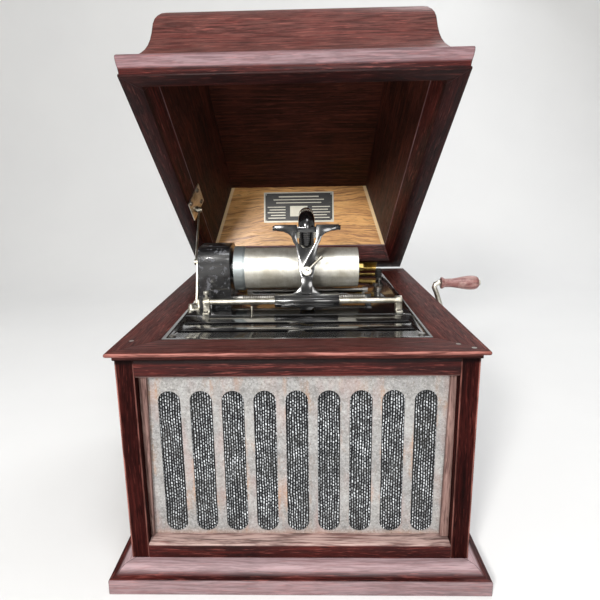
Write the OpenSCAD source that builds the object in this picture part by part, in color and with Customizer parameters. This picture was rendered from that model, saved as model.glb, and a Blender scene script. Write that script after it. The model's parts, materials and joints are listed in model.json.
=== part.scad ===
// Table cylinder phonograph in a lidded wooden case, built from separate pieces.
// Millimetres. X to the right, Y to the back, Z up, front of the case faces -Y.
// The origin is the middle of the underside of the base moulding.

/* [Case] */
// Width of the deck frame on top of the case
deck_w = 318; // [300:1:340]
// Depth of the deck frame, front to back
deck_d = 394; // [380:1:410]
// Height of the deck surface above the table
deck_z = 223; // [215:1:240]
// Width of the boards that make the deck frame
deck_strip = 38; // [36:0.5:40]
// Thickness of the deck frame
deck_t = 8; // [7:0.5:9]
// How far the base moulding stands beyond the deck frame
base_out = 11; // [8:0.5:14]
// Height of the base moulding where the case stands on it
base_h = 22.5; // [21:0.5:25]
// How far the case sides stand inside the deck frame
case_in = 5.5; // [4:0.25:7]
// How far the case front and back stand inside the deck frame
case_in_y = 8.5; // [7:0.25:10]
// Face width of a corner post
post_w = 16; // [14:0.5:18]
// Depth of a corner post
post_d = 18; // [16:0.5:20]
// Height of the face of the upper front rail
rail_top_h = 17.5; // [14:0.5:20]
// Height of the face of the lower front rail
rail_bot_h = 13.8; // [12:0.2:17]
// Depth of the recess in front of the grille sheet
recess = 15; // [12:0.5:17]

/* [Grille] */
// Number of upright slots in the grille sheet
slot_n = 9; // [7:1:9]
// Width of one slot
slot_w = 20; // [16:0.5:22]
// Distance from one slot to the next
slot_pitch = 28.3; // [27:0.1:28.8]
// Height of the lower end of the slots
slot_z0 = 40; // [38:0.5:46]
// Height of the upper end of the slots
slot_z1 = 180; // [170:0.5:186]
// Thickness of the grille sheet
sheet_t = 1; // [0.8:0.1:1.5]
// Width of the upright strips beside the grille sheet
strip_w = 7; // [5:0.5:9]
// How much narrower the left strip is at its foot
strip_taper = 4.2; // [0:0.2:4.4]

/* [Lid] */
// Angle by which the lid stands open
lid_open = 35.5; // [30:0.5:36]
// Half the width of the lid rim
lid_hw = 153; // [150:0.5:155]
// Distance from the hinge pin to the front of the lid
lid_l = 390; // [386:0.5:392]
// Height of the square band round the lid rim
rim_h = 23.5; // [21:0.5:26]
// How far the rim flares out towards its top
rim_flare = 4.6; // [3:0.2:5]
// Width of the side rails of the rim
rim_side = 18; // [16:0.5:19]
// Width of the front rail of the rim
rim_front = 12.4; // [11:0.2:15]
// Height of the inside of the lid
lid_in_h = 107; // [106:0.5:112]
// Lean of the side linings, inward per unit of height
lean_side = 0.316; // [0.28:0.004:0.33]
// Lean of the front and back linings
lean_end = 0.358; // [0.32:0.004:0.37]
// Thickness of the lining boards
lining_t = 4; // [3:0.25:5]

/* [Mandrel and feed] */
// Distance of the mandrel axis behind the front edge of the deck
man_y = 175; // [174:0.5:177]
// Height of the mandrel axis above the deck
man_h = 40; // [39.5:0.5:42]
// Radius of the mandrel at its left end
man_r0 = 22.9; // [22:0.1:23.5]
// Radius of the mandrel at its right end
man_r1 = 21.9; // [21:0.1:22.5]
// Left end of the mandrel barrel
man_x0 = -57.5; // [-59:0.5:-56]
// Right end of the mandrel barrel
man_x1 = 66.5; // [64:0.5:68.5]
// Radius of the flange at the left end of the mandrel
collar_r = 24.7; // [23.5:0.1:25.5]
// Width of that flange
collar_w = 11.5; // [10:0.5:12]
// Radius of the feed screw over its threads
feed_r = 3.5; // [3:0.1:4]
// Pitch of the grooves of the feed screw
feed_pitch = 2; // [1.6:0.1:3]
// Distance of the guide rod behind the front edge of the deck
rod_y = 130; // [128:0.5:132]
// Height of the guide rod above the deck
rod_h = 12.2; // [11.5:0.1:14]
// Radius of the guide rod
rod_r = 3; // [2.6:0.1:3.2]

/* [Carriage] */
// Middle of the carriage at rest, to the right of the middle of the case
car_x = 10.5; // [5:0.5:14]
// Radius of the sleeve on the guide rod
sleeve_r = 6.5; // [6:0.1:7]
// Left end of the sleeve, from the middle of the carriage
sleeve_x0 = -33.8; // [-34.5:0.1:-30]
// Right end of the sleeve, from the middle of the carriage
sleeve_x1 = 33.1; // [30:0.1:34]
// Backward lean of the upright of the carriage
car_lean = 12; // [10:0.5:13]
// Thickness of the upright
car_t = 6; // [5:0.25:7]

/* [Crank] */
// Throw of the crank, shaft to grip
crank_r = 86.5; // [80:0.5:92]
// Length of the wooden grip
grip_l = 47.5; // [44:0.5:52]
// Largest radius of the grip
grip_r = 9; // [8:0.25:10]
// Radius of the bent steel rod
arm_r = 3.2; // [2.8:0.1:3.6]

/* [Fits] */
// Radial clearance of a shaft that turns in a hole
run_c = 0.08; // [0.05:0.01:0.12]
// Gap left between pieces that pass each other
gap = 0.3; // [0.2:0.05:0.4]
// Depth of engagement left out of the gear teeth
gear_play = 0.12; // [0.08:0.01:0.2]

/* [Hidden] */
$fn = 64;
base_w = deck_w + 2*base_out;
base_d = deck_d + 2*base_out;
case_hw = deck_w/2 - case_in;
case_hd = deck_d/2 - case_in_y;
post_in = case_hw - post_w;
under_z = deck_z - deck_t;
case_h = under_z - base_h;
open_hx = deck_w/2 - deck_strip;
open_hy = deck_d/2 - deck_strip;
sheet_y = -case_hd + recess;
plate_t = 3.2;
plate_gap = 0.4;
bed_step = 0.8;
bed_y = 122.5;
plate_z = deck_z - plate_t;
hinge_y = deck_d/2 + 2.5;
hinge_z = deck_z + 0.4;
lid_back = 2.5;
back_in = 24;
hinge_xs = [-95, 95];
leaf_l = 44;
leaf_w = 16;
leaf_t = 1.6;
knuckle_r = 2.2;
pin_r = 1.1;
man = [fy(man_y), deck_z + man_h];
feed_n1 = 44;
feed_n2 = 22;
feed_ang = -102.6;
feed = man + polar((feed_n1 + feed_n2)/2, feed_ang);
drive_n = 34;
idler_n = 40;
centre_n = 60;
idler_ang = -74.3;
idler = man + polar((drive_n + idler_n)/2, idler_ang);
centre_ang = -63.9;
centre = idler + polar((idler_n + centre_n)/2, centre_ang);
pin_n = 14;
great_n = 106;
great_ang = -42.8;
barrel = centre + polar((pin_n + great_n)/2, great_ang);
gov_n1 = 64;
gov_n2 = 12;
gov_ang = 189.2;
gov = centre + polar((gov_n1 + gov_n2)/2, gov_ang);
rod = [fy(rod_y), deck_z + rod_h];
tube_y = fy(235);
slot_hw = 12.6;
horn_py = fy(50);
horn_x = car_x;

function fy(v) = v - deck_d/2;
function polar(r, a) = [r*cos(a), r*sin(a)];
function arc(c, r, a0, a1, n) = [for (i = [0:n]) c + polar(r, a0 + (a1 - a0)*i/n)];
function phase(b, p1, n1, n2) = b + 180 + 180/n2 - (p1 - b)*n1/n2;

// Places a shape drawn flat so that its own Z axis runs along X.
module along_x(x, c) {
    translate([x, c[0], c[1]]) rotate([90, 0, 90]) children();
}

function mirrored(p, s) = concat([for (q = p) [q[0] - s/2, q[1]]],
    [for (i = [len(p) - 1:-1:0]) [s/2 - p[i][0], p[i][1]]]);

// Block w wide and d deep whose four edges all follow the outline p,
// given as distance in from the edge and height.
module moulded(w, d, p) {
    intersection() {
        translate([-w/2, 0, 0]) rotate([90, 0, 90]) linear_extrude(w) polygon(mirrored(p, d));
        translate([0, d/2, 0]) rotate([90, 0, 0]) linear_extrude(d) polygon(mirrored(p, w));
    }
}

// Spur gear with straight flanked teeth, module one, n teeth, one tooth at angle ph.
module gear(n, t, bore, ph) {
    p = 360/n;
    r = n/2;
    pts = [for (i = [0:n - 1]) for (k = [
        [r - 1.2, -0.30], [r, -0.215], [r + 0.8 - gear_play, -0.10],
        [r + 0.8 - gear_play, 0.10], [r, 0.215], [r - 1.2, 0.30]])
        polar(k[0], ph + p*(i + k[1]))];
    difference() {
        linear_extrude(t) polygon(pts);
        translate([0, 0, -1]) cylinder(h = t + 2, r = bore);
    }
}

// Round headed screw, head on the XY plane, shank below it, slot across the head.
module screw(r, h, l, s) {
    difference() {
        union() {
            cylinder(h = h, r = r, $fn = 32);
            translate([0, 0, -l]) cylinder(h = l + 0.1, r = s, $fn = 24);
        }
        translate([-r - 1, -r*0.14, h*0.55]) cube([2*r + 2, r*0.28, h]);
    }
}

// Case
module base_moulding() color([0.24, 0.09, 0.08]) {
    difference() {
        moulded(base_w, base_d, concat([[0, 0]], arc([1.9, base_h - 9.8], 1.9, 180, 80, 5),
            [[4.2, base_h - 8], [5.4, base_h - 7.4], [7, base_h - 5.8], [9, base_h - 3.2],
            [11.2, base_h - 1.3], [13.6, base_h - 0.3], [case_in + base_out, base_h]]));
        translate([-base_w/2 + 32, -base_d/2 + 32, -1]) cube([base_w - 64, base_d - 64, base_h + 2]);
    }
}

module bottom_board() color([0.45, 0.33, 0.22]) {
    translate([-base_w/2 + 32, -base_d/2 + 32, 0]) cube([base_w - 64, base_d - 64, 9]);
}

module corner_posts() color([0.24, 0.09, 0.08]) {
    for (sx = [-1, 1]) for (sy = [-1, 1])
        translate([sx > 0 ? post_in : -case_hw, sy > 0 ? case_hd - post_d : -case_hd, base_h])
            cube([post_w, post_d, case_h]);
}

module left_panel() color([0.26, 0.10, 0.09]) {
    translate([-case_hw + 3, -case_hd + post_d, base_h])
        cube([8, 2*(case_hd - post_d), case_h]);
}

module right_panel() color([0.26, 0.10, 0.09]) {
    difference() {
        translate([case_hw - 11, -case_hd + post_d, base_h])
            cube([8, 2*(case_hd - post_d), case_h]);
        along_x(case_hw - 15, barrel) cylinder(h = 20, r = 7.5);
    }
}

module back_panel() color([0.26, 0.10, 0.09]) {
    translate([-post_in, case_hd - 10, base_h]) cube([2*post_in, 7, case_h]);
}

module front_top_rail() color([0.27, 0.10, 0.09]) {
    translate([-post_in, -case_hd, under_z - rail_top_h]) rotate([90, 0, 90])
        linear_extrude(2*post_in)
            polygon([[0, rail_top_h], [0, 3], [1, 1.4], [3, 0], [recess, 0], [recess, rail_top_h]]);
}

module front_bottom_rail() color([0.27, 0.10, 0.09]) {
    translate([-post_in, -case_hd, base_h]) rotate([90, 0, 90])
        linear_extrude(2*post_in)
            polygon([[0, 0], [recess, 0], [recess, rail_bot_h + 1.5], [1.6, rail_bot_h], [0, rail_bot_h - 1.6]]);
}

module grille_strips() color([0.40, 0.22, 0.20]) {
    z0 = base_h + rail_bot_h + 1.5;
    z1 = under_z - rail_top_h;
    translate([0, sheet_y, 0]) rotate([90, 0, 0]) linear_extrude(5) {
        polygon([[-post_in, z0], [-post_in + strip_w - strip_taper, z0], [-post_in + strip_w, z1],
            [-post_in, z1]]);
        polygon([[post_in, z0], [post_in - strip_w - 0.8, z0], [post_in - strip_w + 1.8, z1],
            [post_in, z1]]);
    }
}

module grille_sheet() color([0.60, 0.60, 0.57]) {
    difference() {
        translate([-post_in + 0.5, sheet_y, base_h + 8])
            cube([2*post_in - 1, sheet_t, case_h - 16]);
        for (i = [0:slot_n - 1]) translate([(i - (slot_n - 1)/2)*slot_pitch, sheet_y - 1, 0]) {
            translate([-slot_w/2, 0, slot_z0 + slot_w/2])
                cube([slot_w, sheet_t + 2, slot_z1 - slot_z0 - slot_w]);
            for (z = [slot_z0 + slot_w/2, slot_z1 - slot_w/2])
                translate([0, 0, z]) rotate([-90, 0, 0]) cylinder(h = sheet_t + 2, r = slot_w/2);
        }
    }
}

module grille_cloth() color([0.16, 0.17, 0.19]) {
    translate([-post_in + 2, sheet_y + sheet_t + 0.1, base_h + 10])
        cube([2*post_in - 4, 1.2, case_h - 20]);
}

module deck_frame() color([0.31, 0.13, 0.11]) {
    difference() {
        translate([0, 0, deck_z]) moulded(deck_w, deck_d, concat([[5, -deck_t], [5, -5.6], [4.4, -4.6],
            [3, -4.2], [1.6, -4.2]], arc([2.1, -2.1], 2.1, 222, 90, 6)));
        translate([-open_hx, -open_hy, under_z - 1]) cube([2*open_hx, 2*open_hy, deck_t + 2]);
        for (x = hinge_xs) translate([x - leaf_l/2 - 0.2, deck_d/2 - leaf_w, deck_z - leaf_t])
            cube([leaf_l + 0.4, leaf_w + 1, leaf_t + 1]);
    }
}

module plate_bearers() color([0.45, 0.33, 0.22]) {
    for (s = [-1, 1])
        translate([s > 0 ? open_hx - 4 : -open_hx - 21.5, -open_hy + 4, under_z - 9])
            cube([25.5, 2*open_hy - 8, 9]);
}

module crank_escutcheon() color([0.62, 0.60, 0.56]) {
    difference() {
        along_x(case_hw - 11, barrel) union() {
            cylinder(h = 8, r = 7.4);
            translate([0, 0, 8]) cylinder(h = 2.2, r = 13);
        }
        along_x(case_hw - 20, barrel) cylinder(h = 40, r = 4 + run_c);
    }
}

// Bedplate and the fixed works
// Cutter for a slot along X through the bedplate, l long between the centres of its round ends.
module slot(x, y, l, r) {
    translate([x - l/2, y - r, plate_z - 1]) cube([l, 2*r, plate_t + 2]);
    for (e = [-l/2, l/2]) translate([x + e, y, plate_z - 1]) cylinder(h = plate_t + 2, r = r);
}

module bedplate() color([0.06, 0.06, 0.06]) {
    bx = open_hx - plate_gap;
    by = open_hy - plate_gap;
    difference() {
        union() {
            translate([-bx, -by, plate_z]) cube([2*bx, 2*by, plate_t]);
            for (s = [-1, 1]) translate([s > 0 ? bx - 3 : -bx, -by, under_z])
                cube([3, 2*by, deck_t]);
            for (s = [-1, 1]) translate([-bx, s > 0 ? by - 3 : -by, under_z])
                cube([2*bx, 3, deck_t]);
        }
        for (sx = [-1, 1]) for (yy = [65, 92])
            slot(sx*59.5, fy(yy), 97, 4);
        translate([-106, fy(157), plate_z - 1]) cube([19.5, 50, plate_t + 2]);
        translate([-bx + 3.5, -by + 3.5, deck_z - bed_step])
            cube([2*bx - 7, fy(bed_y) + by - 3.5, bed_step + 1]);
        slot(car_x - 1, tube_y, 114, slot_hw);
        translate([108, fy(302), plate_z - 1]) cylinder(h = plate_t + 2, r = 3 + run_c);
        translate([97.4, fy(226), plate_z - 1]) cylinder(h = plate_t + 2, r = 2 + run_c);
    }
}

module cover_outline(o) {
    f = fy(149.5) + o;
    b = fy(214) - o;
    polygon(concat([[f, -1], [f, man[1] - deck_z + 10]],
        arc([f + 14, man[1] - deck_z + 12 - o*0.2], 14, 172, 100, 5),
        arc([b - 24, man[1] - deck_z + 3 - o], 24, 84, 0, 7), [[b, -1]]));
}

module gear_cover() color([0.05, 0.05, 0.05]) {
    difference() {
        translate([-107, 0, deck_z]) rotate([90, 0, 90]) linear_extrude(34.6) cover_outline(0);
        translate([-105.4, 0, deck_z]) rotate([90, 0, 90]) linear_extrude(31.4) cover_outline(1.6);
        translate([-120, -200, deck_z - 5]) cube([60, 400, 5]);
        along_x(-78, man) cylinder(h = 10, r = 11);
        along_x(-78, feed) cylinder(h = 10, r = feed_r + 0.6);
    }
}

module mandrel_pedestal() color([0.08, 0.08, 0.08]) {
    h = man_h;
    difference() {
        union() {
            translate([-86.5, 0, deck_z]) rotate([90, 0, 90]) linear_extrude(9)
                polygon([[fy(158), 0], [fy(158), 14], [man[0] - 9, h + 4], [man[0] + 9, h + 4],
                    [fy(199), 14], [fy(199), 0]]);
            along_x(-86.5, man) cylinder(h = 16.5, r = 10);
        }
        along_x(-90, man) cylinder(h = 30, r = 5 + run_c);
        along_x(-90, feed) cylinder(h = 20, r = 2.6 + run_c);
        along_x(-90, idler) cylinder(h = 20, r = 3 + run_c);
    }
}

module feed_bracket() color([0.08, 0.08, 0.08]) {
    difference() {
        translate([75, 0, deck_z]) rotate([90, 0, 90]) linear_extrude(6)
            polygon([[feed[0] - 9, 0], [feed[0] - 5, feed[1] - deck_z + 4],
                [feed[0] + 5, feed[1] - deck_z + 4], [feed[0] + 9, 0]]);
        along_x(74, feed) cylinder(h = 10, r = 2.6 + run_c);
    }
}

module guide_rod() color([0.75, 0.75, 0.72]) {
    along_x(-97.6, rod) cylinder(h = 203, r = rod_r);
}

module rod_brackets() color([0.62, 0.62, 0.60]) {
    translate([-47, fy(bed_y - 2.1), deck_z - bed_step])
        cylinder(h = rod_h - rod_r + bed_step, r = 1.1, $fn = 24);
    for (x = [-98.6, 102.2]) difference() {
        union() {
            translate([x, rod[0] - 4, deck_z]) cube([6.5, 8, rod_h]);
            along_x(x, rod) cylinder(h = 6.5, r = 4.8);
            translate([x, rod[0] - 9, deck_z]) cube([6.5, 6, 2.4]);
        }
        along_x(x > 0 ? x - 1 : x + 1, rod) cylinder(h = x > 0 ? 4.2 : 7.5, r = rod_r);
    }
    translate([-95.4, rod[0], rod[1] + 4.6]) {
        cylinder(h = 4, r = 1.5, $fn = 24);
        translate([0, 0, 3.8]) cylinder(h = 3.2, r = 3, $fn = 32);
    }
}

module machine_screws() color([0.78, 0.78, 0.76]) {
    for (x = [-95.4, 105.5]) translate([x, rod[0] - 6.8, deck_z + 2.4]) screw(2.2, 1.8, 0, 1);
    for (p = [[107, 288], [97.2, 252.7]])
        translate([p[0], fy(p[1]), deck_z]) {
            cylinder(h = 3, r = 1.5, $fn = 24);
            translate([0, 0, 3]) screw(3.2, 2.6, 1, 1.2);
        }
    for (p = [[-113, 50], [113, 50], [-113, 345], [113, 345]])
        translate([p[0], fy(p[1]), p[1] < bed_y ? deck_z - bed_step : deck_z]) screw(3, 1.2, 0, 1);
}

module rear_rail() color([0.70, 0.70, 0.68]) {
    c = [fy(206), deck_z + 7.6];
    along_x(-60, c) cylinder(h = 142, r = 2.4);
    for (x = [-60, 76]) {
        translate([x, c[0] - 3.4, deck_z]) cube([6, 6.8, 7.6]);
        along_x(x, c) cylinder(h = 6, r = 3.8);
    }
}

module motor_frame() color([0.10, 0.10, 0.10]) {
    low = deck_z - 99;
    mid = deck_z - 65;
    bar_z = deck_z - 23;
    pts_l = [[fy(150), plate_z], [fy(150), mid], [fy(228), low], [fy(276), low], [fy(286), plate_z]];
    pts_r = [[fy(150), bar_z + 5], [fy(150), mid], [fy(228), low], [fy(276), low],
        [fy(286), bar_z + 5]];
    difference() {
        union() {
            translate([-116, 0, 0]) rotate([90, 0, 90]) linear_extrude(2.5) polygon(pts_l);
            translate([-62, 0, 0]) rotate([90, 0, 90]) linear_extrude(2.5) polygon(pts_r);
            for (c = [[fy(155), bar_z], [fy(281), bar_z], [fy(186), mid - 10]])
                along_x(-114, c) cylinder(h = 53, r = 3.4);
            for (y = [155, 281]) translate([-62, fy(y) - 5, bar_z])
                cube([9, 10, plate_z - bar_z]);
        }
        for (c = [centre, gov]) along_x(-120, c) cylinder(h = 70, r = 2.5 + run_c);
        along_x(-120, barrel) cylinder(h = 70, r = 4 + run_c);
    }
    along_x(-59.6, barrel + [20, 15]) cylinder(h = 6, r = 1.6);
    along_x(-54.6, barrel + [20, 15]) cylinder(h = 1.2, r = 3);
}

module horn_post() color([0.10, 0.10, 0.10]) {
    translate([horn_x, horn_py, 9]) {
        cylinder(h = 3, r = 12);
        cylinder(h = 41, r = 5);
        cylinder(h = 48, r = 3);
    }
}

// Turning works
module mandrel() color([0.74, 0.74, 0.70]) {
    along_x(man_x0 - collar_w, man) difference() {
        union() {
            cylinder(h = collar_w - 1.5, r = collar_r);
            cylinder(h = collar_w, r = collar_r - 1);
            translate([0, 0, collar_w]) cylinder(h = man_x1 - man_x0, r1 = man_r0, r2 = man_r1);
        }
        translate([0, 0, collar_w + 4]) cylinder(h = 200, r = man_r1 - 2.2);
        translate([0, 0, -1]) cylinder(h = 40, r = 5);
    }
    along_x(man_x1 - 9, man) difference() {
        cylinder(h = 5, r = man_r1 - 2.2);
        translate([0, 0, -1]) cylinder(h = 8, r = 5);
    }
}

drive_ph = idler_ang;
idler_ph = phase(idler_ang, drive_ph, drive_n, idler_n);
centre_ph = phase(centre_ang, idler_ph, idler_n, centre_n);
feed2_ph = phase(feed_ang, feed_ang, feed_n1, feed_n2);
great_ph = phase(great_ang, great_ang, pin_n, great_n);
gov2_ph = phase(gov_ang, gov_ang, gov_n1, gov_n2);

module mandrel_shaft() color([0.60, 0.58, 0.52]) {
    along_x(-105, man) cylinder(h = man_x1 + 105, r = 5);
    along_x(man_x1 - 0.1, man) cylinder(h = 5, r = 2.6);
    along_x(-104, man) gear(drive_n, 5, 4.9, drive_ph);
    along_x(-94, man) gear(feed_n1, 4.5, 4.9, feed_ang);
}

module shaft_nut() color([0.78, 0.66, 0.36]) {
    along_x(man_x1 + 0.2, man) difference() {
        union() {
            cylinder(h = 1.2, r = 5.4);
            cylinder(h = 6.5, r = 4.4, $fn = 6);
        }
        translate([0, 0, -1]) cylinder(h = 5.9, r = 2.6);
    }
}

module idler_gear() color([0.66, 0.55, 0.32]) {
    along_x(-104, idler) {
        gear(idler_n, 5, 2.9, idler_ph);
        cylinder(h = 26.4, r = 3);
        translate([0, 0, 4.9]) cylinder(h = 4, r = 5.5);
    }
}

module feed_screw() color([0.72, 0.72, 0.70]) {
    n = floor(134/feed_pitch);
    x0 = -62;
    prof = concat([[0, -95], [2.6, -95], [2.6, x0 - 4], [feed_r - 0.1, x0 - 4]],
        [for (i = [0:n - 1]) for (k = [[feed_r, 0.15], [feed_r, 0.5], [feed_r - 0.7, 0.8]])
            [k[0], x0 + feed_pitch*(i + k[1])]],
        [[feed_r - 0.1, x0 + feed_pitch*n], [feed_r - 0.1, 74.8], [2.6, 74.8], [2.6, 81.5], [0, 81.5]]);
    along_x(0, feed) rotate_extrude($fn = 48) polygon(prof);
    along_x(-94, feed) gear(feed_n2, 4.5, 2.5, feed2_ph);
}

module centre_shaft() color([0.62, 0.55, 0.38]) {
    along_x(-116, centre) cylinder(h = 57, r = 2.5);
    along_x(-112, centre) gear(gov_n1, 4, 2.4, gov_ang);
    along_x(-104, centre) gear(centre_n, 5, 2.4, centre_ph);
    along_x(-69.5, centre) gear(pin_n, 6, 2.4, great_ang);
}

module spring_barrel() color([0.55, 0.52, 0.46]) {
    great_gear();
    along_x(-93, barrel) difference() {
        cylinder(h = 23, r = 46);
        translate([0, 0, 2]) difference() {
            cylinder(h = 19, r = 43.5);
            translate([0, 0, -1]) cylinder(h = 25, r = 9);
        }
        translate([0, 0, -1]) cylinder(h = 30, r = 4 + run_c);
    }
}

module great_gear() color([0.66, 0.55, 0.32]) {
    along_x(-69.5, barrel) {
        gear(great_n, 6, 4 + run_c, great_ph);
    }
    along_x(-70, barrel) difference() {
        cylinder(h = 0.6, r = 20);
        translate([0, 0, -1]) cylinder(h = 3, r = 4 + run_c);
    }
}

module mainspring() color([0.35, 0.35, 0.38]) {
    turns = 7;
    n = turns*24;
    r0 = 12;
    r1 = 42;
    s = (r1 - r0)/turns;
    inner = [for (i = [0:n]) polar(r0 + (r1 - r0)*i/n, 360*turns*i/n)];
    outer = [for (i = [n:-1:0]) polar(r0 + (r1 - r0)*i/n + 0.9, 360*turns*i/n)];
    along_x(-90, barrel) linear_extrude(17) polygon(concat(inner, outer));
    along_x(-90, barrel) linear_extrude(17) polygon([[8.98, -1], [r0 + 0.4, -1], [r0 + 0.4, 0.6], [8.98, 0.6]]);
}

module governor_shaft() color([0.60, 0.58, 0.52]) {
    along_x(-116, gov) cylinder(h = 57, r = 2.5);
    along_x(-112, gov) gear(gov_n2, 4, 2.4, gov2_ph);
    along_x(-97.5, gov) cylinder(h = 4, r = 6.5);
    along_x(-78.5, gov) cylinder(h = 4, r = 6.5);
    along_x(-76, gov) cylinder(h = 2, r = 15);
}

gov_x = -86;

module governor_springs() color([0.45, 0.45, 0.48]) {
    out = [[-8.6, 7.2], [-7.1, 7.5], [-5, 11], [-2.8, 12.2]];
    in = [[-8.6, 6.4], [-6.7, 6.8], [-4.5, 10.4], [-2.8, 11.5]];
    pts = concat(out, [for (i = [3:-1:0]) [-out[i][0], out[i][1]]],
        [for (i = [0:3]) [-in[i][0], in[i][1]]], [for (i = [3:-1:0]) in[i]]);
    for (a = [0, 120, 240]) translate([gov_x, gov[0], gov[1]]) rotate([a + 20, 0, 0])
        rotate([90, 0, 0]) translate([0, 0, -2.5]) linear_extrude(5) polygon(pts);
}

module governor_weights() color([0.70, 0.58, 0.32]) {
    for (a = [0, 120, 240]) translate([gov_x, gov[0], gov[1]]) rotate([a + 20, 0, 0])
        translate([0, 0, 12.2]) cylinder(h = 5, r = 4.2);
}

// Winding
module crank() color([0.72, 0.72, 0.70]) {
    x1 = deck_w/2 + 13;
    top = barrel[1] + crank_r;
    along_x(-115.6, barrel) cylinder(h = x1 + 113.6, r = 4);
    bent([[x1 - 4, 0], [x1 + 3, 0.6], [x1 + 9, 5], [x1 + 12.5, 14], [x1 + 12.6, 30], [x1 + 9, 55],
        [x1 + 2.5, crank_r - 12], [x1 - 0.5, crank_r - 5.5], [x1 + 1.2, crank_r - 1.2],
        [x1 + 4, crank_r], [x1 + 7, crank_r]], arm_r);
    translate([0, barrel[0], top]) rotate([0, 90, 0]) translate([0, 0, x1 + 6])
        cylinder(h = grip_l + 3, r = 2.2, $fn = 32);
    translate([0, barrel[0], top]) rotate([0, 90, 0]) translate([0, 0, x1 + 7 + grip_l + gap])
        cylinder(h = 1.6, r = 3.6, $fn = 32);
}

// Round bar through points given as distance along X and height above the crank shaft.
module bent(p, r) {
    m = len(p);
    n = 18;
    d = [for (i = [0:m - 1]) unit(p[min(i + 1, m - 1)] - p[max(i - 1, 0)])];
    pts = [for (i = [0:m - 1]) for (k = [0:n - 1])
        [p[i][0] - d[i][1]*r*cos(360*k/n), barrel[0] + r*sin(360*k/n),
            barrel[1] + p[i][1] + d[i][0]*r*cos(360*k/n)]];
    quads = [for (i = [0:m - 2]) for (k = [0:n - 1]) [i*n + k, i*n + (k + 1) % n,
        (i + 1)*n + (k + 1) % n, (i + 1)*n + k]];
    polyhedron(pts, concat([[for (k = [n - 1:-1:0]) k]], quads, [[for (k = [0:n - 1]) (m - 1)*n + k]]));
}

function unit(v) = v/norm(v);

module crank_grip() color([0.52, 0.30, 0.27]) {
    x1 = deck_w/2 + 20.3;
    l = grip_l;
    r = grip_r;
    translate([0, barrel[0], barrel[1] + crank_r]) rotate([0, 90, 0])
        translate([0, 0, x1 + gap]) rotate_extrude($fn = 48)
            polygon([[2.2 + run_c, 0], [r*0.80, 0], [r*0.84, l*0.03], [r*0.62, l*0.10], [r*0.60, l*0.17],
                [r*0.62, l*0.28], [r*0.72, l*0.42], [r*0.86, l*0.56], [r*0.96, l*0.68], [r, l*0.78],
                [r*0.97, l*0.87], [r*0.85, l*0.94], [r*0.62, l*0.985], [r*0.45, l - 0.6], [2.2 + run_c, l - 0.6]]);
}

module ratchet_wheel() color([0.60, 0.58, 0.52]) {
    n = 16;
    along_x(-58.5, barrel) difference() {
        linear_extrude(4) polygon([for (i = [0:n - 1]) for (k = [[12, 0], [15, 0.08]])
            polar(k[0], 360/n*(i + k[1]))]);
        translate([0, 0, -1]) cylinder(h = 6, r = 4);
    }
}

module ratchet_pawl() color([0.60, 0.58, 0.52]) {
    c = barrel + [20, 15];
    along_x(-59.3, c) difference() {
        union() {
            cylinder(h = 4.5, r = 4);
            translate([0, 0, 0.8]) linear_extrude(3.2)
                polygon([[-3, 2.6], [-9.8, -2.6], [-8.8, -4.6], [2, -3.4]]);
        }
        translate([0, 0, -1]) cylinder(h = 8, r = 1.6 + run_c);
    }
}

// Carriage with its sound head
module car_place() {
    translate([car_x, rod[0], rod[1]]) rotate([-car_lean, 0, 0]) rotate([90, 0, 0]) children();
}

module car_outline() {
    difference() {
        polygon(concat([[-20, 2], [-19, 7.5]], arc([-19, 21.5], 14, -80, -8, 4),
            [[-9.2, 38], [-9.4, 46]], arc([-26, 52], 15.5, -10, 40, 4),
            [[-16, 67.5], [-19.5, 70.8], [-24.5, 73], [-33.5, 74.4], [-33.5, 79.5], [33.5, 79.5],
                [33.5, 74.4], [24.5, 73], [19.5, 70.8], [16, 67.5]], arc([26, 52], 15.5, 140, 190, 4),
            [[9.4, 46], [9.2, 38]], arc([19, 21.5], 14, 188, 260, 4), [[19, 7.5], [20, 2]]));
        translate([0, 65]) circle(r = 10);
        translate([-10, 65]) square([20, 30]);
    }
}

module carriage() color([0.06, 0.06, 0.06]) {
    difference() {
        union() {
            along_x(car_x + sleeve_x0, rod) cylinder(h = sleeve_x1 - sleeve_x0, r = sleeve_r);
            car_place() translate([0, 0, -car_t/2]) linear_extrude(car_t) car_outline();
            car_place() translate([-5.5, 8, car_t/2 - 0.1]) cube([11, 17, 2.2]);
            car_place() translate([0, 31, car_t/2 - 0.1]) cylinder(h = 1.4, r = 6.4);
            translate([car_x + sleeve_x0, rod[0] - 5, rod[1] + 3]) cube([sleeve_x1 - sleeve_x0, 10, 4.6]);
            translate([car_x, rod[0], rod[1]]) rotate([90, 0, 0]) linear_extrude(sleeve_r + 1.6)
                polygon([[-27, -4.6], [-9, -4.6], [-6, -7.8], [4, -7.8], [7, -4.6], [27, -4.6],
                    [27, -1.4], [-27, -1.4]]);
            translate([car_x - 8, rod[0] + 2, rod[1] - 3.6]) cube([16, feed[0] - rod[0] - 8, 3.2]);
        }
        along_x(car_x - 60, rod) cylinder(h = 120, r = rod_r + run_c);
        along_x(car_x - 60, feed) cylinder(h = 120, r = feed_r + 0.4);
    }
    car_place() for (s = [-1, 1]) translate([s*34.4 - 1, 76.3, 0])
        rotate([0, 90, 0]) cylinder(h = 2, r = 2.6, $fn = 32);
}

module half_nut() color([0.66, 0.55, 0.32]) {
    low = min(feed[1] - 6.4, rod[1] - 5.7);
    difference() {
        translate([car_x - 7, feed[0] - 6, low]) cube([14, 12, feed[1] - 0.4 - low]);
        along_x(car_x - 20, feed) cylinder(h = 40, r = feed_r + run_c);
    }
    translate([car_x - 6, rod[0] + 8, rod[1] - 5.7]) cube([12, feed[0] - rod[0] - 13.9, 2]);
}

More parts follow.
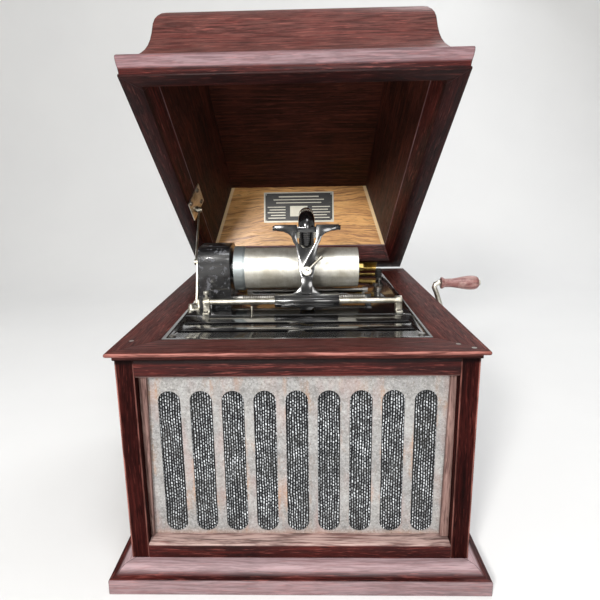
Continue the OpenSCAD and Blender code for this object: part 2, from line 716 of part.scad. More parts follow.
module lift_lever() color([0.78, 0.78, 0.76]) {
    car_place() translate([0, 31, car_t/2 + 1.3]) {
        difference() {
            cylinder(h = 3.4, r = 4.6, $fn = 40);
            translate([0, 0, 2.4]) cylinder(h = 3, r = 2.4, $fn = 32);
        }
        rotate([0, 0, 44]) translate([0, 0, 2]) rotate([0, 90, 0]) {
            cylinder(h = 21.5, r = 1.5, $fn = 32);
            translate([0, 0, 18.5]) cylinder(h = 3.4, r = 1.9, $fn = 32);
        }
    }
}

// Sound head over the mandrel
head_y = fy(176);
head_z = man[1] + 34;
socket_z = head_z + 12.2;
neck_r = 7.8;

module reproducer() color([0.10, 0.10, 0.10]) {
    translate([car_x, head_y, head_z]) difference() {
        union() {
            cylinder(h = 7, r = 14.2);
            translate([0, 0, 6.9]) cylinder(h = 9.1, r = 3.2, $fn = 40);
            translate([-2, 9.5, -2.2]) cube([4, 4, 2.4]);
        }
        translate([0, 0, -1]) cylinder(h = 3.6, r = 12.6);
        translate([-0.9, 9, -2.3]) cube([1.8, 5, 1.4]);
        translate([0, 0, 3]) cylinder(h = 14, r = 1.6, $fn = 32);
    }
}

module diaphragm_disc() color([0.80, 0.78, 0.70]) {
    translate([car_x, head_y, head_z + 2.1]) cylinder(h = 0.5, r = 12.6);
}

module stylus_lever() color([0.70, 0.70, 0.68]) {
    translate([car_x, head_y, head_z]) {
        translate([0, 0, -1]) cylinder(h = 3.1, r = 0.6, $fn = 24);
        translate([-0.7, -4, -2.1]) cube([1.4, 15.5, 1.2]);
        translate([0, -3, -4]) cylinder(h = 2, r = 0.6, $fn = 24);
    }
}

module horn_elbow() color([0.07, 0.07, 0.07]) {
    y0 = fy(152.5);
    low = head_z - 8.4;
    ztop = low + 29.6;
    translate([car_x, 0, 0]) difference() {
        union() {
            translate([0, y0, 0]) rotate_extrude() polygon(concat([[0, low],
                [neck_r - 2.6, low], [neck_r - 0.6, low + 1.8], [neck_r - 0.6, low + 2.4]],
                [for (i = [0:7]) for (k = [[neck_r - 0.5, 0.2], [neck_r, 0.6], [neck_r, 1.7],
                    [neck_r - 0.5, 2.1]]) [k[0], low + 2.4 + i*2.2 + k[1]]],
                [[neck_r + 1.2, low + 20], [neck_r + 1.2, low + 21.8], [0, low + 21.8]]));
            along_x(0, [y0 + 9.4, ztop - 9.4]) rotate([0, 0, 90])
                rotate_extrude(angle = 90) translate([9.4, 0]) circle(r = 8.7);
            translate([0, y0 + 8.7, ztop]) rotate([-90, 0, 0])
                cylinder(h = tube_y - 12 - y0 - 8.7, r = 8.4);
            along_x(0, [tube_y - 13, ztop - 13])
                rotate_extrude(angle = 90) translate([13, 0]) circle(r = 8.6);
            translate([0, tube_y, under_z + 1.5]) cylinder(h = ztop - 12 - under_z - 1.5, r1 = 11, r2 = 9);
            translate([-10, fy(144.5), low + 16.9]) cube([20, 7, 5.5]);
        }
        translate([0, tube_y, under_z]) cylinder(h = 70, r1 = 9.6, r2 = 6);
        translate([0, head_y, socket_z - 8]) cylinder(h = 17.4, r = 3.2 + run_c);
    }
}

// Horn inside the case
horn_top = under_z + 1;
horn_t = 1.4;
horn_r0 = 11.6;
horn_l = 176;
horn_er = 20;
horn_a = 70;
horn_c = [tube_y - horn_er, horn_top - 14];
horn_e = horn_c + polar(horn_er, -horn_a);

function bell(s) = horn_r0 + 0.6 + (57 - horn_r0)*pow(max(0, s - 2)/(horn_l - 2), 1.35);
function belly(s, d) = horn_e + polar(s, -90 - horn_a) + polar(bell(s) - d, -horn_a);

module horn() color([0.07, 0.07, 0.07]) {
    along_x(horn_x, horn_c) rotate([0, 0, -horn_a]) rotate_extrude(angle = horn_a)
        translate([horn_er, 0]) difference() { circle(r = horn_r0); circle(r = horn_r0 - horn_t); }
    translate([horn_x, tube_y, horn_c[1] - 0.5]) rotate_extrude() polygon([
        [horn_r0 - horn_t - 0.1, 0], [horn_r0 + 0.6, 0], [horn_r0 + 0.6, 2], [horn_r0 + 0.2, 2.6],
        [horn_r0 + 0.2, 12], [21, 12], [21, 14.5], [horn_r0 - horn_t - 0.1, 14.5]]);
    translate([horn_x, horn_e[0], horn_e[1]]) rotate([horn_a + 40, 0, 0]) rotate_extrude()
        polygon(concat([[horn_r0 - horn_t - 0.1, -0.5], [horn_r0 + 0.6, -0.5]],
            [for (i = [0:8]) let (s = 2 + (horn_l - 2)*i/8) [bell(s), s]],
            [[59, horn_l + 1], [57, horn_l + 1]],
            [for (i = [8:-1:1]) let (s = 2 + (horn_l - 2)*i/8) [bell(s) - 1.3, s]],
            [[horn_r0 - horn_t - 0.1, 3]]));
    difference() {
        union() {
            translate([horn_x, horn_py, 50.4]) cylinder(h = 12, r = 6);
            along_x(horn_x - 1.5, [0, 0]) linear_extrude(3) polygon([[horn_py, 52], [horn_py, 61],
                belly(horn_l, 0.6), belly(155, 0.6), belly(132, 0.6), belly(132, -5), [horn_py + 26, 52]]);
        }
        translate([horn_x, horn_py, 49]) cylinder(h = 9, r = 3 + run_c);
    }
}

// Hand controls
module stop_knob() color([0.55, 0.32, 0.29]) {
    x = 108;
    y = fy(302);
    z = plate_z - 4.2;
    translate([x, y, z]) cylinder(h = plate_t + 9, r = 3, $fn = 32);
    for (i = [0:2]) translate([x, y, deck_z + 4.5 + i*3.4]) cylinder(h = 2.2, r = 4.6, $fn = 32);
    translate([x, y, deck_z + 4]) cylinder(h = 11.6, r = 3.4, $fn = 32);
    translate([0, 0, z - 2]) linear_extrude(2.1)
        polygon([[x + 5, y - 5], [x + 5, y + 5], [-76, fy(296)], [-76, fy(166)], [-72.6, fy(166)],
            [-72.6, fy(288)], [x - 5, y - 5]]);
    translate([-76.4, gov[0] - 4, gov[1] + 19.6]) cube([3, 8, z - gov[1] - 21.5]);
}

module speed_screw() color([0.80, 0.80, 0.78]) {
    translate([97.4, fy(226), 0]) {
        translate([0, 0, plate_z - 8]) cylinder(h = 14, r = 2, $fn = 32);
        difference() {
            translate([0, 0, deck_z + 1.4]) cylinder(h = 4.4, r = 3.9, $fn = 40);
            translate([-5, -0.5, deck_z + 5]) cube([10, 1, 2]);
        }
    }
}

// Lid stay
stay_f = [fy(158), deck_z + 5.5];
stay_k = [fy(175), deck_z + 47.8];
stay_x = -112.1;
stay_px = -126.9;
stay_p = [fy(279), deck_z + 99.2];
stay_ang = atan2(stay_k[1] - stay_f[1], stay_k[0] - stay_f[0]);
stay_len = norm(stay_k - stay_f);
rod_ang = atan2(stay_p[1] - stay_k[1], stay_p[0] - stay_k[0]);
rod_len = norm(stay_p - stay_k);

module stay_foot() color([0.55, 0.40, 0.32]) {
    translate([0, stay_f[0], 0]) {
        translate([stay_x + 2.2, -5, deck_z]) cube([2, 10, 9.5]);
        translate([stay_x - 7.7, -14, deck_z]) cube([12.5, 19, 0.8]);
        translate([stay_x - 4, -9.8, deck_z + 0.7]) cylinder(h = 3, r1 = 3.6, r2 = 3.2, $fn = 40);
        translate([stay_x - 4, -9.8, deck_z + 3.6]) cylinder(h = 2.2, r = 2.6, $fn = 32);
        translate([stay_x - 1.6, 0, stay_f[1]]) rotate([0, 90, 0]) cylinder(h = 4, r = 1.6, $fn = 32);
        translate([stay_x - 2.2, 0, stay_f[1]]) rotate([0, 90, 0]) cylinder(h = 0.8, r = 2.8, $fn = 32);
    }
}

module stay_strap() color([0.66, 0.66, 0.58]) {
    along_x(stay_x, stay_f) rotate([0, 0, stay_ang]) difference() {
        union() {
            linear_extrude(1.8) polygon([[0, -4.2], [stay_len, -5.4], [stay_len, 5.4], [0, 4.2]]);
            cylinder(h = 1.8, r = 4.2);
            translate([stay_len, 0, 0]) cylinder(h = 1.8, r = 5.4);
        }
        translate([0, 0, -1]) cylinder(h = 4, r = 1.6 + run_c);
        translate([stay_len - 16.4, -3.4, -1]) cube([16.8, 6.8, 4]);
        for (d = [-16.4, 0.4]) translate([stay_len + d, 0, -1]) cylinder(h = 4, r = 3.4);
    }
}

// Round bar of radius r from point a to point b.
module bar(a, b, r) {
    v = b - a;
    translate(a) rotate([0, acos(v[2]/norm(v)), atan2(v[1], v[0])]) cylinder(h = norm(v), r = r);
}

module stay_rod() color([0.75, 0.75, 0.70]) {
    u = [0, cos(rod_ang), sin(rod_ang)];
    k = [stay_x - 1.9, stay_k[0], stay_k[1]];
    p = [stay_px, stay_p[0], stay_p[1]];
    along_x(stay_x - 2.8, stay_k) {
        cylinder(h = 1.9, r = 3.4);
        cylinder(h = 5.2, r = 1.4);
        translate([0, 0, 5]) cylinder(h = 0.8, r = 4.6);
    }
    bar(k + 2*u, p - 3*u, 1.2);
    along_x(stay_px - 1.4, stay_p) difference() {
        cylinder(h = 2.8, r = 4);
        translate([0, 0, -1]) cylinder(h = 5, r = 1.5 + run_c);
    }
}

// Lid, drawn closed about the hinge pin and then swung open
module lid_pose() {
    translate([0, hinge_y, hinge_z]) rotate([-lid_open, 0, 0]) children();
}

lid_d = lid_l - lid_back;
top_z = 118;
lid_cy = -(lid_l + lid_back)/2;

// Space inside the lid, grown by ox sideways, by oy front and back and by oz upward.
module lid_hollow(ox, oy, oz) {
    z = lid_in_h + oz;
    hw = lid_hw - rim_side + ox;
    f = -lid_l + rim_front - oy;
    b = -back_in + oy;
    intersection() {
        rotate([90, 0, 0]) linear_extrude(lid_l) polygon([
            [-hw - lean_side, -1], [hw + lean_side, -1], [hw - lean_side*z, z], [-hw + lean_side*z, z]]);
        translate([-lid_hw, 0, 0]) rotate([90, 0, 90]) linear_extrude(2*lid_hw) polygon([
            [f - lean_end, -1], [b + lean_end, -1], [b - lean_end*z, z], [f + lean_end*z, z]]);
    }
}

module lid_rim() color([0.30, 0.13, 0.12]) {
    lid_pose() difference() {
        translate([0, lid_cy, 0]) moulded(2*(lid_hw + rim_flare), lid_d + 2*rim_flare, [
            [rim_flare, 0], [rim_flare - 0.7, 0.7], [rim_flare - 0.7, 2.6], [rim_flare - 0.1, 3.2],
            [rim_flare - 0.3, 5], [rim_flare*0.68, 9], [rim_flare*0.36, 13], [rim_flare*0.12, 17],
            [0, rim_h - 3.4], [0.3, rim_h - 2], [1.2, rim_h - 0.8], [2.8, rim_h]]);
        translate([-lid_hw - 20, -lid_back, -1]) cube([2*lid_hw + 40, 20, rim_h + 2]);
        lid_hollow(0, 0, 0);
        for (x = hinge_xs) translate([x - leaf_l/2 - 0.2, -lid_back - leaf_w + 0.1, -1])
            cube([leaf_l + 0.4, leaf_w + 1, leaf_t + 1]);
    }
}

module lid_walls() color([0.28, 0.12, 0.11]) {
    lid_pose() difference() {
        translate([0, lid_cy, 0]) moulded(2*lid_hw, lid_d, [[0.6, rim_h], [1, rim_h + 1], [3.4, rim_h + 3.2],
            [6.6, rim_h + 7], [9.8, rim_h + 12.4], [12.4, rim_h + 18.4], [14.4, rim_h + 24],
            [16, rim_h + 31], [17, rim_h + 39], [17.4, rim_h + 48], [17.4, rim_h + 61],
            [18.2, rim_h + 68], [19.8, rim_h + 74], [22.6, rim_h + 80.6], [26.4, rim_h + 86],
            [31, rim_h + 89.8], [36, rim_h + 91.2], [46, rim_h + 91.2]]);
        translate([0, lid_cy, 0]) moulded(2*lid_hw, lid_d, [[21, rim_h - 1], [21, 46], [24.5, 80],
            [27, 95], [31, 103], [37, 107.4], [46, 110.1], [46, top_z + 5]]);
        lid_hollow(lining_t, lining_t, 3);
    }
}

module lid_top_board() color([0.28, 0.12, 0.11]) {
    lid_pose() translate([0, lid_cy, 0]) moulded(2*lid_hw, lid_d, [[46, 110.1], [46, top_z - 1.5],
        [47.5, top_z]]);
}

module lid_side_linings() color([0.20, 0.10, 0.09]) {
    lid_pose() difference() {
        lid_hollow(lining_t, lining_t, 0);
        lid_hollow(0, lining_t + 2, 3);
        translate([-lid_hw, -lid_l - 1, -5]) cube([2*lid_hw, lid_l + 2, rim_h + 5]);
    }
}

module lid_front_lining() color([0.20, 0.10, 0.09]) {
    lid_pose() difference() {
        lid_hollow(0, lining_t, 0);
        lid_hollow(2, 0, 3);
        translate([-lid_hw, -lid_l/2, -5]) cube([2*lid_hw, lid_l, 300]);
        translate([-lid_hw, -lid_l - 1, -5]) cube([2*lid_hw, lid_l + 2, rim_h + 5]);
    }
}

module lid_rear_panel() color([0.78, 0.58, 0.34]) {
    lid_pose() difference() {
        lid_hollow(0, lining_t, 0);
        lid_hollow(2, 0, 3);
        translate([-lid_hw, -lid_l - 1, -5]) cube([2*lid_hw, lid_l/2, 300]);
        translate([-lid_hw, -lid_l - 1, -5]) cube([2*lid_hw, lid_l + 2, rim_h + 5]);
    }
}

module lid_top_lining() color([0.20, 0.10, 0.09]) {
    lid_pose() difference() {
        lid_hollow(lining_t, lining_t, 3);
        translate([-lid_hw, -lid_l - 1, -5]) cube([2*lid_hw, lid_l + 2, lid_in_h + 5]);
    }
}

module on_rear_panel() {
    lid_pose() translate([0, -back_in, 0]) rotate([atan(lean_end), 0, 0]) children();
}

module data_plate() color([0.10, 0.10, 0.11]) {
    t = 0.8;
    z1 = lid_in_h/cos(atan(lean_end)) - 8;
    on_rear_panel() difference() {
        translate([-52.5, -t, z1 - 46]) cube([105, t, 46]);
        for (x = [-49, 49]) for (z = [z1 - 42.5, z1 - 3.5]) translate([x, 1, z])
            rotate([90, 0, 0]) cylinder(h = 4, r = 1.1, $fn = 24);
    }
}

module plate_pins() color([0.75, 0.66, 0.40]) {
    z1 = lid_in_h/cos(atan(lean_end)) - 8;
    on_rear_panel() for (x = [-49, 49]) for (z = [z1 - 42.5, z1 - 3.5]) translate([x, 0, z])
        rotate([90, 0, 0]) cylinder(h = 1.5, r = 1, $fn = 24);
}

stay_pl = [(stay_p[0] - hinge_y)*cos(lid_open) - (stay_p[1] - hinge_z)*sin(lid_open),
    (stay_p[0] - hinge_y)*sin(lid_open) + (stay_p[1] - hinge_z)*cos(lid_open)];

module stay_bracket() color([0.42, 0.36, 0.32]) {
    a = atan(lean_side);
    hw = lid_hw - rim_side;
    lid_pose() {
        translate([-hw, stay_pl[0], 0]) rotate([0, a, 0]) difference() {
            translate([0, -31, 1]) cube([1.4, 38, 32]);
            for (p = [[-26, 26], [0, 27], [-26, 6]]) translate([-1, p[0], p[1]]) rotate([0, 90, 0])
                cylinder(h = 4, r = 1.4, $fn = 24);
        }
        translate([-hw + 4.8, stay_pl[0], stay_pl[1]]) rotate([0, 90, 0])
            cylinder(h = 5.4, r = 1.5, $fn = 32);
        translate([stay_px + 1.7, stay_pl[0], stay_pl[1]]) rotate([0, 90, 0])
            cylinder(h = 1.2, r = 3, $fn = 32);
        translate([-hw + 4.8, stay_pl[0], stay_pl[1]]) rotate([0, 90, 0])
            cylinder(h = 1.5, r = 3.4, $fn = 32);
    }
}

module bracket_screws() color([0.72, 0.72, 0.70]) {
    a = atan(lean_side);
    lid_pose() translate([-lid_hw + rim_side, stay_pl[0], 0]) rotate([0, a, 0])
        for (p = [[-26, 26], [0, 27], [-26, 6]]) translate([1.4, p[0], p[1]]) rotate([0, 90, 0])
            screw(2.8, 1.2, 1.3, 1.3);
}

// Hinges
module hinges_fixed() color([0.60, 0.50, 0.32]) {
    for (x = hinge_xs) {
        difference() {
            union() {
                translate([x - leaf_l/2, deck_d/2 - leaf_w, deck_z - leaf_t])
                    cube([leaf_l, leaf_w + lid_back, leaf_t]);
                translate([x - leaf_l/2, hinge_y, hinge_z]) rotate([0, 90, 0])
                    cylinder(h = leaf_l, r = knuckle_r);
            }
            translate([x - leaf_l/6 - gap, hinge_y - knuckle_r - 0.4, deck_z - 20])
                cube([leaf_l/3 + 2*gap, 20, 40]);
        }
        translate([x - leaf_l/2, hinge_y, hinge_z]) rotate([0, 90, 0]) cylinder(h = leaf_l, r = pin_r);
    }
}

module hinges_lid() color([0.60, 0.50, 0.32]) {
    lid_pose() for (x = hinge_xs) difference() {
        union() {
            translate([x - leaf_l/2, -lid_back - leaf_w + 0.3, 0]) cube([leaf_l, leaf_w - 0.3, leaf_t]);
            translate([x - leaf_l/6, -lid_back - 1, 0]) cube([leaf_l/3, lid_back + 1, leaf_t]);
            translate([x - leaf_l/6, 0, 0]) rotate([0, 90, 0]) cylinder(h = leaf_l/3, r = knuckle_r);
        }
        translate([x - leaf_l, 0, 0]) rotate([0, 90, 0]) cylinder(h = 2*leaf_l, r = pin_r + run_c);
    }
}

module side_panels() {
    left_panel();
    right_panel();
}

module front_rails() {
    front_top_rail();
    front_bottom_rail();
}

module shaft_bearings() {
    mandrel_pedestal();
    feed_bracket();
}

module lid_fasteners() {
    plate_pins();
    bracket_screws();
}

module governor_fittings() {
    governor_springs();
    governor_weights();
}

module diaphragm() {
    diaphragm_disc();
    stylus_lever();
}

base_moulding();
bottom_board();
corner_posts();
side_panels();
back_panel();
front_rails();
grille_strips();
grille_sheet();
grille_cloth();
deck_frame();
plate_bearers();
crank_escutcheon();
bedplate();
gear_cover();
shaft_bearings();
guide_rod();
rod_brackets();
machine_screws();
rear_rail();
motor_frame();
horn_post();
stay_foot();
hinges_fixed();
lid_rim();
lid_walls();
lid_top_board();
lid_side_linings();
lid_front_lining();
lid_rear_panel();
lid_top_lining();
data_plate();
lid_fasteners();
stay_bracket();
hinges_lid();
stay_strap();
stay_rod();
mandrel();
mandrel_shaft();
shaft_nut();
idler_gear();
feed_screw();
centre_shaft();
spring_barrel();
mainspring();
governor_shaft();
governor_fittings();
crank();
ratchet_wheel();
crank_grip();
ratchet_pawl();
carriage();
half_nut();
horn_elbow();
lift_lever();
reproducer();
diaphragm();
horn();
stop_knob();
speed_screw();
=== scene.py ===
import bpy, bmesh, json, math
from mathutils import Vector, Matrix


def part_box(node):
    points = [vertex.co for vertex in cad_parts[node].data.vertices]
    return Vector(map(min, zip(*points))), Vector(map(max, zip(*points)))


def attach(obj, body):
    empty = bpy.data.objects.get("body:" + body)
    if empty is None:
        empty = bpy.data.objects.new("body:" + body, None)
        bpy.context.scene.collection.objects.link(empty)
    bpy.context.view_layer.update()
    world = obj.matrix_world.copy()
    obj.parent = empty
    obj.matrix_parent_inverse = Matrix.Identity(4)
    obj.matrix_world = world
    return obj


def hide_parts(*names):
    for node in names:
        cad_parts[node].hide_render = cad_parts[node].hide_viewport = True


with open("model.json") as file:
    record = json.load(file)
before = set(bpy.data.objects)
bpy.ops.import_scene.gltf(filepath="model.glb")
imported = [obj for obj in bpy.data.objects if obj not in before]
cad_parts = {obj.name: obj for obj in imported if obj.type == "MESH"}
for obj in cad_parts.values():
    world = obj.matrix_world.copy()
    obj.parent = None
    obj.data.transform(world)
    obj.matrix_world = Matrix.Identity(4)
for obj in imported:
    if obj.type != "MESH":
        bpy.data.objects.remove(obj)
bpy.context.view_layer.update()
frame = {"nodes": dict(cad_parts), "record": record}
nodes = frame["nodes"]
print("frame loaded:", len(nodes), "nodes")

# ---- places shared by several pieces, in metres, as in the CAD model
case = {"deckWidth": 0.318, "deckDepth": 0.394, "deckTop": 0.223, "baseWidth": 0.340, "baseDepth": 0.416,
        "ledge": 0.0145, "postOuterX": 0.1535, "postOuterY": 0.1885, "postInnerX": 0.1375,
        "postFront": -0.187, "sillLow": 0.0345, "sillHigh": 0.045, "railLow": 0.1982, "deckShadowFrom": 0.2090}
lid = {"hinge": (0.0, 0.1995, 0.2234), "openAngle": 35.5, "halfWidth": 0.153, "halfDepth": 0.19375,
       "middleY": -0.19625, "rimHeight": 0.0235, "highlightBandMiddle": 0.0145, "hoodTop": 0.1146,
       "leanSide": 0.316, "flare": 0.0046}


def srgb(r, g, b):
    # a colour as it is seen, 0 to 255, to the values a shader takes
    def part(v):
        v = v / 255
        return v / 12.92 if v <= 0.04045 else ((v + 0.055) / 1.055) ** 2.4
    return (part(r), part(g), part(b), 1.0)


# ---- shader helpers
class Val:
    # wraps a value socket so that maths can be written as a Python expression
    def __init__(self, shader, socket):
        self.shader, self.socket = shader, socket

    def calc(self, operation, *terms, clamp=False):
        return self.shader.add("ShaderNodeMath", {"operation": operation, "use_clamp": clamp},
                               {i: t for i, t in enumerate(terms)})

    def __add__(self, o): return self.calc("ADD", self, o)
    def __radd__(self, o): return self.calc("ADD", o, self)
    def __sub__(self, o): return self.calc("SUBTRACT", self, o)
    def __rsub__(self, o): return self.calc("SUBTRACT", o, self)
    def __mul__(self, o): return self.calc("MULTIPLY", self, o)
    def __rmul__(self, o): return self.calc("MULTIPLY", o, self)
    def __truediv__(self, o): return self.calc("DIVIDE", self, o)
    def __rtruediv__(self, o): return self.calc("DIVIDE", o, self)
    def __pow__(self, o): return self.calc("POWER", self, o)
    def __neg__(self): return self.calc("MULTIPLY", self, -1.0)
    def __abs__(self): return self.calc("ABSOLUTE", self)
    def above(self, o): return self.calc("GREATER_THAN", self, o)
    def below(self, o): return self.calc("LESS_THAN", self, o)
    def most(self, o): return self.calc("MAXIMUM", self, o)
    def least(self, o): return self.calc("MINIMUM", self, o)
    def clipped(self): return self.calc("ADD", self, 0.0, clamp=True)
    def wave(self): return self.calc("SINE", self)
    def fraction(self): return self.calc("FRACT", self)

    def spread(self, low, high):
        # 0 at low, 1 at high, soft in between
        return self.shader.add("ShaderNodeMapRange", {"interpolation_type": "SMOOTHSTEP"},
                               {"Value": self, "From Min": low, "From Max": high})


class Shader:
    def __init__(self, name, **constants):
        self.material = bpy.data.materials.new(name)
        self.material.use_nodes = True
        self.tree = self.material.node_tree
        self.surface = self.tree.nodes["Principled BSDF"]
        for key, value in constants.items():
            self.surface.inputs[key.replace("_", " ")].default_value = value

    def add(self, kind, settings=None, values=None, out=0):
        node = self.tree.nodes.new(kind)
        for key, value in (settings or {}).items():
            if key == "stops":
                ramp = node.color_ramp
                while len(ramp.elements) < len(value):
                    ramp.elements.new(0.5)
                for element, (place, colour) in zip(ramp.elements, value):
                    element.position, element.color = place, colour
            else:
                setattr(node, key, value)
        for key, value in (values or {}).items():
            socket = node.inputs[key]
            if isinstance(value, Val):
                self.tree.links.new(value.socket, socket)
            else:
                socket.default_value = value
        return Val(self, node.outputs[out])

    def place(self, onLid=False):
        # coordinates of the case, or of the closed lid for a piece that hangs on the open lid
        point = self.add("ShaderNodeTexCoord", out=3)
        if onLid:
            spin = Matrix.Rotation(math.radians(lid["openAngle"]), 3, "X")
            back = spin @ Vector(lid["hinge"])
            point = self.add("ShaderNodeMapping", {}, {"Vector": point, "Location": -back,
                             "Rotation": (math.radians(lid["openAngle"]), 0, 0)})
        return point

    def parts(self, vector):
        node = self.tree.nodes.new("ShaderNodeSeparateXYZ")
        self.tree.links.new(vector.socket, node.inputs[0])
        return [Val(self, o) for o in node.outputs]

    def vector(self, x, y, z):
        return self.add("ShaderNodeCombineXYZ", {}, {0: x, 1: y, 2: z})

    def stretched(self, vector, amounts):
        return self.add("ShaderNodeVectorMath", {"operation": "MULTIPLY"}, {0: vector, 1: amounts})

    def noise(self, vector, scale, detail=3.0, rough=0.5, distort=0.0):
        return self.add("ShaderNodeTexNoise", {}, {"Vector": vector, "Scale": scale,
                        "Detail": detail, "Roughness": rough, "Distortion": distort})

    def mix(self, amount, first, second, blend="MIX"):
        node = self.tree.nodes.new("ShaderNodeMix")
        node.data_type, node.blend_type = "RGBA", blend
        for index, value in ((0, amount), (6, first), (7, second)):
            if isinstance(value, Val):
                self.tree.links.new(value.socket, node.inputs[index])
            else:
                node.inputs[index].default_value = value
        return Val(self, node.outputs[2])

    def ramp(self, value, stops):
        return self.add("ShaderNodeValToRGB", {"stops": stops}, {0: value})

    def bump(self, height, strength, distance=0.0005, under=None):
        values = {"Height": height, "Strength": strength, "Distance": distance}
        if under is not None:
            values["Normal"] = under
        return self.add("ShaderNodeBump", {}, values)

    def finish(self, **links):
        for key, value in links.items():
            socket = self.surface.inputs[key.replace("_", " ")]
            if isinstance(value, Val):
                self.tree.links.new(value.socket, socket)
            else:
                socket.default_value = value
        return self.material


# ---- woods
def woodGrain(shader, point, look, alongY=None):
    # tone from 0 dark to 1 light, pores, short pale flecks and slow patches
    # the grain runs along X, along Y where alongY is 1, or upright where it is "z"
    x, y, z = shader.parts(point)
    if alongY is None:
        along, across, up = x, y, z
    elif isinstance(alongY, Val):
        along = x + (y - x) * alongY
        across = y + (x - y) * alongY
        up = z
    elif alongY == "z":
        along, across, up = z, x, y
    else:
        along, across, up = y, x, z
    flow = shader.vector(along * look["flowAlong"], across * look["flowAcross"], up * look["flowAcross"])
    bend = (shader.noise(flow, 1.0, 2.0, 0.5) - 0.5) * look["sway"]

    def rows(length, width, detail, rough):
        return shader.noise(shader.vector(along * length, (across + bend) * width, (up + bend) * width),
                            1.0, detail, rough)

    tone = rows(look["rowAlong"], look["rowAcross"], 5.0, 0.62)
    pore = rows(look["poreAlong"], look["poreAcross"], 2.0, 0.6)
    pore = pore.spread(look["poreCut"], look["poreCut"] + 0.14)
    fleck = rows(look["fleckAlong"], look["fleckAcross"], 3.0, 0.65).spread(0.55, 0.70)
    scuff = rows(30, 520, 3.0, 0.7)
    patch = shader.noise(point, look["patch"], 3.0, 0.55)
    return tone, pore, fleck, scuff, patch


redWood = {"dark": (22, 5, 5), "mid": (48, 13, 12), "light": (88, 32, 27), "fleck": (150, 82, 74),
           "worn": (176, 118, 108), "shine": 0.14, "roughness": 0.42, "coat": 0.05, "streak": 0.75,
           "flowAlong": 6, "flowAcross": 26, "sway": 0.010, "rowAlong": 10, "rowAcross": 300,
           "poreAlong": 60, "poreAcross": 1100, "poreCut": 0.52, "fleckAlong": 46, "fleckAcross": 640,
           "patch": 16}


def makeRedWood(name, alongY=None, onLid=False, boards=None, wearAndHighlightMask=None, shade=None, look=redWood):
    # boards: half width, half depth and middle Y of a mitred frame, whose grain turns at the mitres
    s = Shader(name, Coat_Roughness=0.25, Specular_IOR_Level=look["shine"])
    p = s.place(onLid)
    x, y, z = s.parts(p)
    line = None
    if boards:
        halfWidth, halfDepth, middleY = boards
        away = (abs(x) - halfWidth) - (abs(y - middleY) - halfDepth)
        alongY = away.above(0.0)
        line = 1 - abs(away).spread(0.0001, 0.0006)
    tone, pore, fleck, scuff, patch = woodGrain(s, p, look, alongY)
    dark, mid, light, pale, worn = (srgb(*look[k]) for k in ("dark", "mid", "light", "fleck", "worn"))
    colour = s.ramp(tone, [(0.30, dark), (0.50, mid), (0.72, light)])
    colour = s.mix(patch.spread(0.42, 0.72) * 0.40, colour, light)
    colour = s.mix(fleck * 0.48, colour, pale)
    colour = s.mix(pore * 0.74, colour, dark)
    height = pore * -0.6 + fleck * 0.25 + tone * 0.2
    # wear mask: rubbed wear, and on the deck edge, sill, base ledge and rim band also a painted highlight;
    # both mix towards the look's worn colour
    if wearAndHighlightMask:
        rubAndHighlight = scuff.spread(0.38, 0.62) * look["streak"] + (1 - look["streak"])
        rubAndHighlight = (wearAndHighlightMask(s, x, y, z) * rubAndHighlight).clipped()
        colour = s.mix(rubAndHighlight * 0.85, colour, worn)
    # painted shade: the shade mask darkens the colour towards near black
    if shade:
        colour = s.mix(shade(s, x, y, z), colour, srgb(10, 3, 3))
    rough = look["roughness"] + patch * 0.2 + pore * 0.12
    if line is not None:
        colour = s.mix(line * 0.75, colour, srgb(18, 6, 6))
        height = height - line * 1.5
    return s.finish(Base_Color=colour, Roughness=rough, Coat_Weight=look["coat"],
                    Normal=s.bump(height, 0.45, 0.0003))


postLook = dict(redWood, dark=(14, 3, 3), mid=(34, 9, 8), light=(60, 22, 19), fleck=(92, 44, 38),
                shine=0.03, coat=0.0)
# the worn colours of these looks also paint the highlights on the deck edge, sill, base ledge and rim band
deckLook = dict(redWood, shine=0.05, coat=0.02)
railLook = dict(redWood, worn=(200, 172, 164))
baseLook = dict(redWood, worn=(206, 178, 182), streak=0.38)
rimLook = dict(redWood, worn=(196, 166, 172), streak=0.42)
darkWood = dict(redWood, dark=(22, 8, 5), mid=(52, 23, 17), light=(92, 45, 34), fleck=(112, 62, 48),
                worn=(96, 66, 52), roughness=0.44, coat=0.06)
plainWood = dict(redWood, dark=(92, 66, 42), mid=(128, 96, 64), light=(160, 126, 88), fleck=(172, 140, 102),
                 worn=(176, 148, 112), roughness=0.6, coat=0.0)
stripLook = dict(redWood, dark=(64, 42, 38), mid=(122, 94, 88), light=(160, 132, 124), fleck=(184, 158, 148),
                 worn=(176, 156, 146), roughness=0.5, coat=0.1, rowAlong=8, rowAcross=420)

oakPanel = {"base": (212, 154, 84), "dark": (140, 86, 36), "light": (234, 182, 110), "edge": (238, 212, 164),
            "fleck": (98, 60, 28), "inset": 0.018, "edgeWidth": 0.0052}


